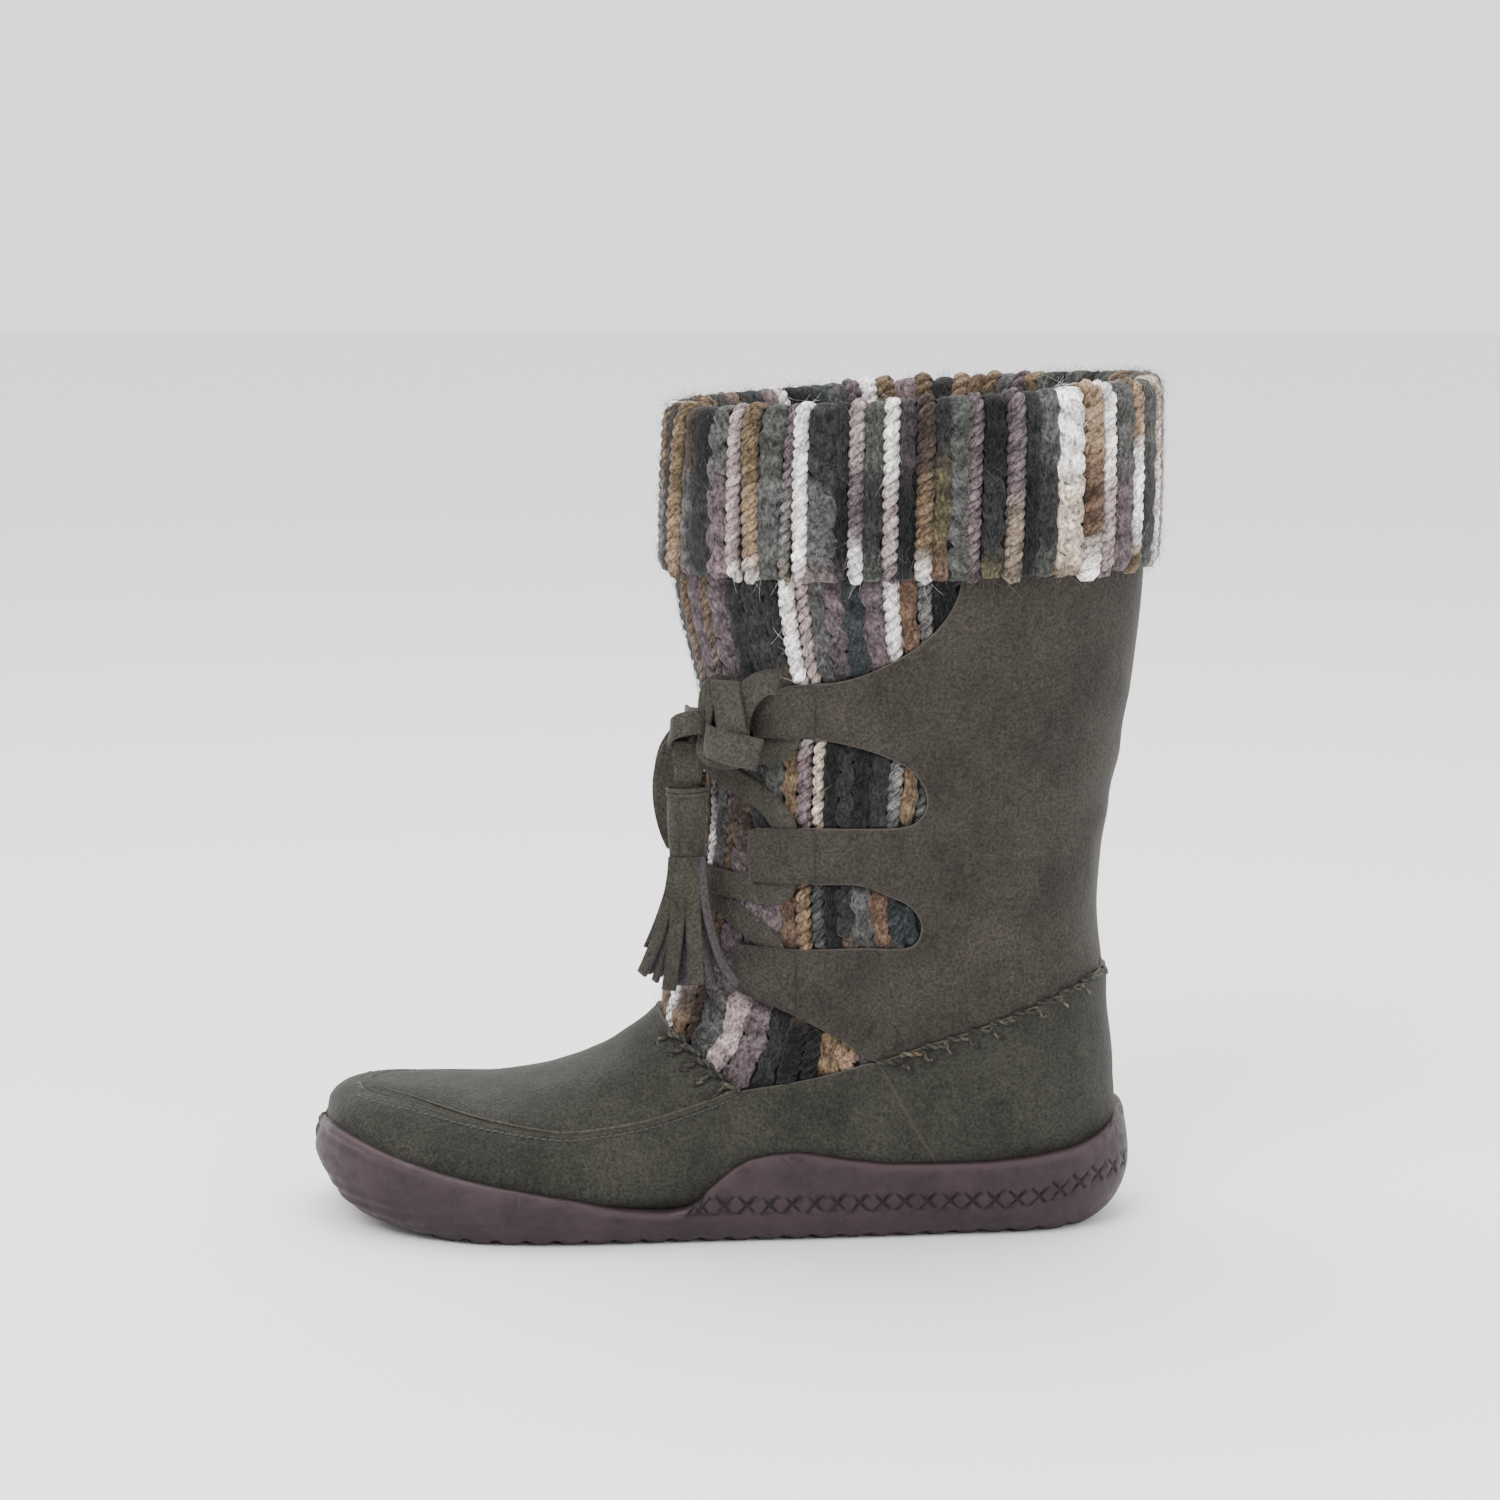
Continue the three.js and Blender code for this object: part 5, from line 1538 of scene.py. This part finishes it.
# Middle lines of the bow's two loops, out of the knot and back into it: x, y, z.
BOW_LOOPS = {
    "outer": [
        [-10.8, -20, 162.2], [-11.2, -21, 161.7], [-13.1, -21.8, 159.3], [-15.3, -22.2, 155.5],
        [-16.9, -22.3, 150], [-17.2, -22.2, 144], [-16.6, -21.8, 138], [-15.2, -20.8, 132],
        [-13.6, -18.2, 127], [-13.0, -14, 124.6], [-13.6, -9.8, 127], [-15.2, -7.2, 132],
        [-16.6, -6.2, 138], [-17.2, -5.8, 144], [-16.9, -5.6, 150], [-15.6, -5.4, 155],
        [-13.6, -5.4, 158.6], [-12.2, -5.4, 160.4],
    ],
    "inner": [
        [-11.6, 0.6, 159.6], [-12.2, 0.4, 157.2], [-12.6, 0.2, 153], [-12.7, 0, 147],
        [-12.7, -0.1, 141], [-12.8, 0.4, 135], [-13.0, 1.6, 130.5], [-13.1, 4.2, 127.3],
        [-13.2, 7.6, 126.3], [-13.1, 11, 127.3], [-13.0, 13.4, 130.5], [-12.8, 14.6, 135],
        [-12.7, 15.1, 141], [-12.7, 15.2, 147], [-12.5, 15.0, 152], [-12.2, 14.8, 156],
    ],
}


def ribbon(name, line, out, node):
    """A piece of flat lace along a line."""
    gather = Mesh()
    gather.sweep(line, out, rounded_strip(LACE_WIDTH, LACE_THICK))
    return gather.build(name, LACE_SUEDE, "lace_suede", node)


def bow_loop(side):
    """A loop of the bow, a free lace held at both ends."""
    line = smooth(BOW_LOOPS[side], 0.8)
    middle = line.mean(0)
    out = unit((line - middle) * [0, 1, 0.3])
    made = ribbon(f"bow_loop_{side}_lace", line, out, f"bow_loop_{side}")


def lace(side, sign):
    """A flat lace along its route through the strap tunnels and across the front."""
    route = smooth(LACE_ROUTE * [10, 1, 1], 1.0)
    u, phi, height = route[:, 0] / 10, np.radians(route[:, 1]) * sign, route[:, 2]
    if sign < 0:
        near = np.min([np.abs(u - c) for c in CROSSINGS], axis=0)
        share = np.clip((46 - np.abs(route[:, 1])) / 21, 0, 1)
        share = share * share * (3 - 2 * share) * np.clip((0.9 - near) / 0.3, 0, 1)
        height = height + CROSSING_LIFT * share
    out = frames(u, phi)[2]
    line = resampled(on_form(u, phi, 0.0) + out * height[:, None], 1.0)
    out = read_off(np.linspace(0, 1, len(line)), np.linspace(0, 1, len(out)), out)
    ribbon(f"lace_{side}_ribbon", line, out, f"lace_{side}")


def faced(points):
    """A smooth middle line and its face directions from rows of x, y, z and direction."""
    both = smooth(np.array(points, float) * [1, 1, 1, 6, 6, 6], 0.7)
    return both[:, :3], unit(both[:, 3:])


def knot():
    """The tie at the top strap: its ribbons, round a filled heart."""
    gather = Mesh()
    for width, points in KNOT_RIBBONS.values():
        line, out = faced(points)
        gather.sweep(line, out, rounded_strip(width, LACE_THICK))
    heart = np.array([[5.5, -36.5, 160], [5.0, -38.0, 164], [4.0, -37.5, 169], [2.5, -36, 174]])
    gather.sweep(smooth(heart, 1.0), np.array([0.0, -1.0, 0.0]), circle(1.0, 12) * [5.0, 3.4])
    gather.build("lace_knot_ribbons", LACE_SUEDE, "lace_suede", "lace_knot")


def hanging_ribbon(name, y, top, bottom, facing, width):
    """A straight piece of lace hanging down, a little cupped."""
    z = np.linspace(top, bottom, 26)
    sway = 0.25 * np.sin((z - top) * 0.5)
    line = np.stack([TAIL_X + sway, np.full(26, y), z], -1)
    half = width / 2
    across = np.linspace(half, -half, 9)
    cup = 0.5 * (across / half) ** 2
    half_thick = LACE_THICK / 2
    front, back = [across, half_thick - cup], [-across, -half_thick - cup]
    profile = np.concatenate([np.stack(front, -1), np.stack(back, -1)])
    gather = Mesh()
    gather.sweep(line, np.array([0.0, facing, 0.0]), profile)
    return gather.build(name, LACE_SUEDE, "lace_suede", body=None)


def tail(side):
    """The lace end from the knot to its tassel, as two straight hanging pieces."""
    y, pivot, facing = TAILS[side]

    def bends(made):
        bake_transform(made)

    made = hanging_ribbon(f"lace_tail_{side}_ribbon", y, pivot + 6, pivot - 7, facing, 9.0)
    bends(made)
    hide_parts(f"lace_tail_{side}")
    neck = hanging_ribbon(f"lace_neck_{side}", y, pivot - 6, pivot - 19, facing, 8.8)
    bends(neck)


# Fringe strips on a tassel's outer face, front to back: offset from the middle at the top and at
# the tip, width, how far down the tip is, and how much it curls.
FRINGE = (
    (-4.2, -15.0, 4.3, 55.0, 0.0), (-2.2, -6.3, 4.8, 59.2, 0.1), (1.4, 2.9, 5.0, 57.2, -0.1),
    (4.2, 13.2, 3.1, 58.2, 1.5),
)
# The strips just under them.
FRINGE_UNDER = ((-3.6, -10.8, 3.6, 57.5), (-0.4, -1.6, 3.8, 58.6), (3.2, 7.6, 4.0, 59.3))
FRINGE_BEHIND = 11
FRINGE_TOP = -17.0  # where the cuts start, from the tassel's pivot
FRINGE_THICK = 0.62
FRINGE_REACH = {True: 9.0, False: 6.0}  # how far out the tips hang, in front and behind
HEAD_HALF = 6.5
HEAD_DEPTH = 3.9
ROLL_THICK = 1.15
HEAD_TOP, HEAD_BOTTOM = 5.2, -20.5  # from the tassel's pivot


def spiral(turns, count=46):
    """Section of the strip rolled round the lace's end, one and a half times."""
    angle = np.linspace(0, turns * 2 * math.pi, count)
    r = 0.72 + 0.28 * angle / angle[-1]
    within = ROLL_THICK / HEAD_HALF
    round_head = [HEAD_HALF * np.cos(angle + 0.4), HEAD_DEPTH * np.sin(angle + 0.4)]
    outer, inner = (np.stack([size * c for c in round_head], -1) for size in (r, r - within))
    return np.concatenate([outer, inner[::-1]])


def tassel(side):
    """A strip rolled round the end of the lace, with its lower part cut into a fringe."""
    y, pivot, facing = TAILS[side]
    middle = np.array([TAIL_X, y, pivot - TAIL_DROP])
    body = f"{side}_tassel"
    olive, grey = Mesh(), Mesh()
    section_points = spiral(1.6)
    rings = []
    for share in np.linspace(0, 1, 22):
        z = HEAD_TOP - 0.6 + (HEAD_BOTTOM - HEAD_TOP - 1) * share
        size = 1 + 0.05 * math.sin(share * 5) - 0.05 * share
        across = section_points * size * [1, -facing]
        rings.append(middle + np.column_stack([across, np.full(len(across), z)]))
    olive.loft(rings)
    core = middle + np.array([[0, 0, HEAD_TOP - 1.6], [0, 0, HEAD_BOTTOM + 1]])
    grey.sweep(resampled(core, 2.0), np.array([0.0, facing, 0.0]), circle(1.0, 14) * [3.6, 2.4])
    for level, radius in ((HEAD_TOP - 0.3, 0.55), (HEAD_TOP - 1.7, 0.5)):
        angle = np.linspace(0, 2 * math.pi, 49)
        height = level + 0.35 * np.sin(angle + 1)
        ring = [(HEAD_HALF + 0.1) * np.cos(angle), (HEAD_DEPTH + 0.1) * np.sin(angle), height]
        ring = np.stack(ring, -1)
        out = unit(ring * [1, 2.2, 0])
        olive.sweep(middle + ring, out, circle(radius, 8) * [1.25, 0.8])

    def strip(top, tip, width, drop, curl, depth, shade_out):
        """A fringe strip, suede outside and its flesh side inside."""
        share = np.linspace(0, 1, 40)
        flare = share**1.7
        x = top + (tip - top) * flare + curl * 3.2 * np.clip(share - 0.72, 0, 1) ** 2 * 8
        z = FRINGE_TOP - (FRINGE_TOP + drop) * share
        y_top = depth * math.sqrt(max(0.04, 1 - (top / (HEAD_HALF + 0.2)) ** 2))
        y_top *= HEAD_DEPTH - 0.2
        y_tip = depth * math.sqrt(max(0.02, 1 - (tip / 16.0) ** 2)) * FRINGE_REACH[depth > 0]
        wave = 0.35 * np.sin(share * 7 + top)
        away = y_top + (y_tip - y_top) * flare + wave * share
        line = middle + np.stack([x, facing * away, z], -1)
        out = np.stack([0.09 * x, facing * np.full(40, depth), np.zeros(40)], -1)
        out[:, 0] += curl * 0.9 * share
        out = unit(out)
        profile = rounded_strip(width, FRINGE_THICK * 1.05)
        for gather, shift in ((shade_out, 0.0), (grey, -FRINGE_THICK)):
            gather.sweep(line + out * shift, out, profile)

    for top, tip, width, drop, curl in FRINGE:
        strip(top, tip, width, drop, curl, 1.0, olive if curl < 1 else grey)
    for top, tip, width, drop in FRINGE_UNDER:
        strip(top, tip, width, drop, 0.0, 0.45, olive if tip < -3 else grey)
    for i in range(FRINGE_BEHIND):
        share = (i + 0.5) / FRINGE_BEHIND * 2 - 1
        tip = 14.0 * share + rng.normal(0, 0.5)
        strip(
            share * 5.0, tip, rng.uniform(2.8, 3.8), rng.uniform(55, 59), rng.normal(0, 0.15),
            -0.9 if i % 2 else -0.35, olive if i % 3 else grey,
        )
    olive.build(f"tassel_{side}_fringe", LACE_SUEDE, "lace_suede", f"tassel_{side}", body)
    grey.build(f"tassel_{side}_underside", FRINGE_BACK, "lace_suede", body=body)


# ---------------------------------------------------------------------------
# Stitches
# ---------------------------------------------------------------------------

# Rows of whip stitches: the edge they follow, how many, how far the leather's edge stands out
# there, the threads' colours, how far down a stitch reaches, and the thread's width.
WHIP_ROWS = {
    "foxing": (
        FOXING_TOP[:-1], 10, 0.8, ("moss sage", "moss moss", "sage gold", "moss moss", "sage moss"),
        4.0, 1.8,
    ),
    "throat": (THROAT[:-2], 5, 0.4, ("moss moss", "moss sage", "moss moss"), 5.4, 2.1),
}


def side_line(line, count):
    """Evenly spread points along a side-view line, with the line's direction at each."""
    at = lengths(line)
    points = read_off(np.linspace(0, at[-1], count), at, line)
    return points, unit(np.gradient(points, axis=0))


def over_leather(flat, sign, height):
    """Side-view points laid over the leather at given heights, with their outward directions."""
    u, phi, _ = station_of(flat[:, 0], flat[:, 1])
    out = frames(u, phi * sign)[2]
    return on_form(u, phi * sign, 0.0) + out * np.asarray(height)[:, None], out


def whip_stitches(kind, side, sign):
    """Thick thread that runs along an edge and dips into a hole below it at each stitch, with a
    near-black disc in each hole as painted shade.
    """
    line, units, lift, colours, depth, thread = WHIP_ROWS[kind]
    gather, hole_shades = Mesh(), Mesh()
    ends, ways = side_line(line, units + 1)
    normal = np.stack([ways[:, 1], -ways[:, 0]], -1)
    if normal[0, 1] > 0:
        normal = -normal
    base = LEATHER[1] + lift
    for i in range(units):
        a, b = ends[i] + normal[i] * 0.6, ends[i + 1] + normal[i + 1] * 1.6
        down = normal[i]
        along = np.stack([
            a - down * 0.7, a * 0.7 + b * 0.3 - down * 1.0, a * 0.3 + b * 0.7 - down * 0.2, b,
        ])
        leg = np.stack([
            b - down * 1.2, b + down * depth * 0.35, b + down * depth * 0.7 + ways[i] * 0.9,
            b + down * depth + ways[i] * 1.5,
        ])
        for bar, heights, wide in (
            (along, (base - 0.7, base + 0.45, base + 0.55, base - 0.2), thread),
            (leg, (base - 0.1, base + 0.5, base + 0.35, base - 1.0), thread * 0.82),
        ):
            rows = smooth(np.column_stack([bar, heights]), 0.5)
            points, out = over_leather(rows[:, :2], sign, rows[:, 2])
            picked = colours[rng.integers(len(colours))].split()
            tint = graded(picked, np.linspace(0, 1, len(points)))
            spin(gather, "rope", points, out, np.full(len(points), wide), tint, i)
        # A dark disc at each hole: painted shade where the thread goes into the leather.
        hole, out = over_leather(leg[-1:] + ways[i] * 0.2, sign, [base - 0.35])
        dot = hole + out * np.array([[0.0], [0.25], [0.5]])
        around = unit(np.cross(out, [0, 0, 1]))
        hole_shades.sweep(dot, around, circle(0.75, 10))
    name = f"{kind}_stitches_{side}"
    gather.build(name, THREAD_WOOL, "thread", f"{kind}_stitch_{side}")
    hole_shades.build(name + "_holes", HOLE_SHADE, "thread")


def tiny_stitches():
    """A fine lockstitch just below the moc seam."""
    gather = Mesh()
    line, ways = side_line(smooth(MOC_SEAM[1:], 1.0), 58)
    for sign in (1, -1):
        for p, way in zip(line[1:-1], ways[1:-1]):
            below = p + np.array([way[1], -way[0]]) * 1.6
            dash = below + way * np.array([[-0.75], [-0.3], [0.3], [0.75]])
            if station_of(dash[:, 0], dash[:, 1])[2].max() > 0.995:
                continue
            points, out = over_leather(dash, sign, [1.7, 2.0, 2.0, 1.7])
            gather.sweep(points, out, circle(0.24, 5))
    gather.build("moc_seam_stitches", THREAD_LIGHT, "thread")


def moc_ridge():
    """The rolled edge of the plug, standing up along the moc seam, in paler suede as a painted
    highlight.
    """
    gather = Mesh()
    near = to_form(MOC_SEAM + [0, 0.7])
    near[0, 1] = 0
    both = np.concatenate([mirrored(near)[:-1], near])
    line = on_form(both[:, 0], both[:, 1], LEATHER[1] + 0.05)
    out = frames(both[:, 0], both[:, 1])[2]
    gather.sweep(line, out, circle(1.0, 10) * [0.45, 0.34])
    gather.build("moc_seam_ridge", RIDGE_SUEDE_HIGHLIT, "foot_suede")


# ---------------------------------------------------------------------------
# Lining and footbed
# ---------------------------------------------------------------------------


def divided_copy(node, name, material, longest):
    """A copy of a CAD solid with its long edges divided."""
    source = bpy.data.objects[node]
    made = placed(name, source.data.copy())
    made.data.transform(source.matrix_world)
    made.data.materials.clear()
    made.data.materials.append(material)
    work = bmesh.new()
    work.from_mesh(made.data)
    bmesh.ops.remove_doubles(work, verts=work.verts, dist=1e-6)
    for _ in range(4):
        long = [e for e in work.edges if e.calc_length() > longest]
        if not long:
            break
        bmesh.ops.subdivide_edges(work, edges=long, cuts=1)
        bmesh.ops.triangulate(work, faces=work.faces)
    work.normal_update()
    return made, work


def lining():
    """The fleece sock, with an uneven pile."""
    made, work = divided_copy("lining", "lining_pile", FLEECE, 0.006)
    normals = np.array([v.normal for v in work.verts])
    points = np.array([v.co for v in work.verts])
    lift = 0.00035 * ripples(points / MM, 41, 5)
    for v, normal, up in zip(work.verts, normals, lift):
        v.co += Vector(normal) * float(up)
    work.to_mesh(made.data)
    work.free()
    settle(made, "lining")


def footbed():
    """The foam footbed, softly rounded, with a hollow for the heel."""
    made, work = divided_copy("footbed", "footbed_cloth", CLOTH, 0.005)
    for v in work.verts:
        x, y = v.co.x / MM, v.co.y / MM
        if v.normal.z > 0.6:
            cup = math.exp(-(((x - 80) / 26) ** 2) - (y / 16) ** 2)
            v.co.z -= 0.0016 * cup
    work.to_mesh(made.data)
    work.free()
    made.data.shade_smooth()
    settle(made, "footbed")


# ---------------------------------------------------------------------------
# Inside, floor and light
# ---------------------------------------------------------------------------

HIDDEN = {"shank": STEEL, "insole_board": BOARD, "heel_counter": STIFFENER, "toe_puff": STIFFENER}


def finish_hidden():
    """Gives the hidden CAD solids a finish of their own."""
    for node, material in HIDDEN.items():
        solid = bpy.data.objects[node]
        solid.data.materials.clear()
        solid.data.materials.append(material)


# Area lights: name, place, the point they look at, size in metres and power in watts.
LIGHTS = (
    ("key", (-0.6, -1.0, 1.4), (0, 0, 0.12), 0.9, 26),
    ("fill", (1.2, -0.9, 0.7), (0, 0, 0.12), 1.0, 10),
    ("top", (0.0, 0.3, 1.6), (0, 0, 0.1), 1.0, 14),
)


def flat_light(name, place, target, size, power):
    """A square area light."""
    data = bpy.data.lights.new(name, "AREA")
    data.shape = "SQUARE"
    data.size = size
    data.energy = power
    made = placed(name, data)
    made.location = place
    made.rotation_euler = (Vector(target) - Vector(place)).to_track_quat("-Z", "Y").to_euler()


FRONT_LIGHT = 0.75
HORIZON = 0.58  # the backdrop near the floor is as bright as the floor
BACK_LIGHT = 3.0  # the white backdrop behind the boot is lit more than the room in front of it


FLOOR_REACH = 6.0
PAPER = (0.97, 0.97, 0.97, 1)


def studio():
    """A white paper floor under soft light, with a bright backdrop."""
    floor_mesh = bpy.data.meshes.new("floor")
    signs = ((-1, -1), (1, -1), (1, 1), (-1, 1))
    corners = [(x * FLOOR_REACH, y * FLOOR_REACH, 0) for x, y in signs]
    floor_mesh.from_pydata(corners, [], [(0, 1, 2, 3)])
    paper = Finish("paper", Roughness=0.9)
    paper.colour(PAPER)
    floor_mesh.materials.append(paper.material)
    placed("floor", floor_mesh)
    world = bpy.data.worlds.new("studio")
    world.use_nodes = True
    background = world.node_tree.nodes["Background"].inputs
    background["Color"].default_value = (1, 1, 1, 1)
    sky = Nodes(world.node_tree)
    view = sky.node("SeparateXYZ", Vector=sky.node("TexCoord").outputs["Generated"]).outputs
    backdrop = sky.remap(view["Y"], -0.1, 0.5, FRONT_LIGHT, BACK_LIGHT)
    horizon = sky.remap(view["Z"], 0.05, 0.3, HORIZON, 1.0)
    sky.feed(background["Strength"], sky.maths("MULTIPLY", backdrop, horizon))
    bpy.context.scene.world = world
    for row in LIGHTS:
        flat_light(*row)


# ---------------------------------------------------------------------------
# Making
# ---------------------------------------------------------------------------

SIDES = (("outer", 1), ("inner", -1))

make_camera()
for side in BOW_LOOPS:
    bow_loop(side)
for side, sign in SIDES:
    lace(side, sign)
knot()
for side in TAILS:
    tail(side)
    tassel(side)
vamp_plug()
vamp_wall()
heel_foxing()
for side, sign in SIDES:
    quarter(side, sign)
strap_folds()
outsole()
knit_base()
for name, yarns in (("cuff_fuzz", cuff), ("sleeve_fuzz", sleeve_yarns)):
    fuzz = Fuzz()
    yarns(fuzz)
    fuzz.build(name)
for side, sign in SIDES:
    for kind in WHIP_ROWS:
        whip_stitches(kind, side, sign)
tiny_stitches()
moc_ridge()
lining()
footbed()
finish_hidden()
studio()
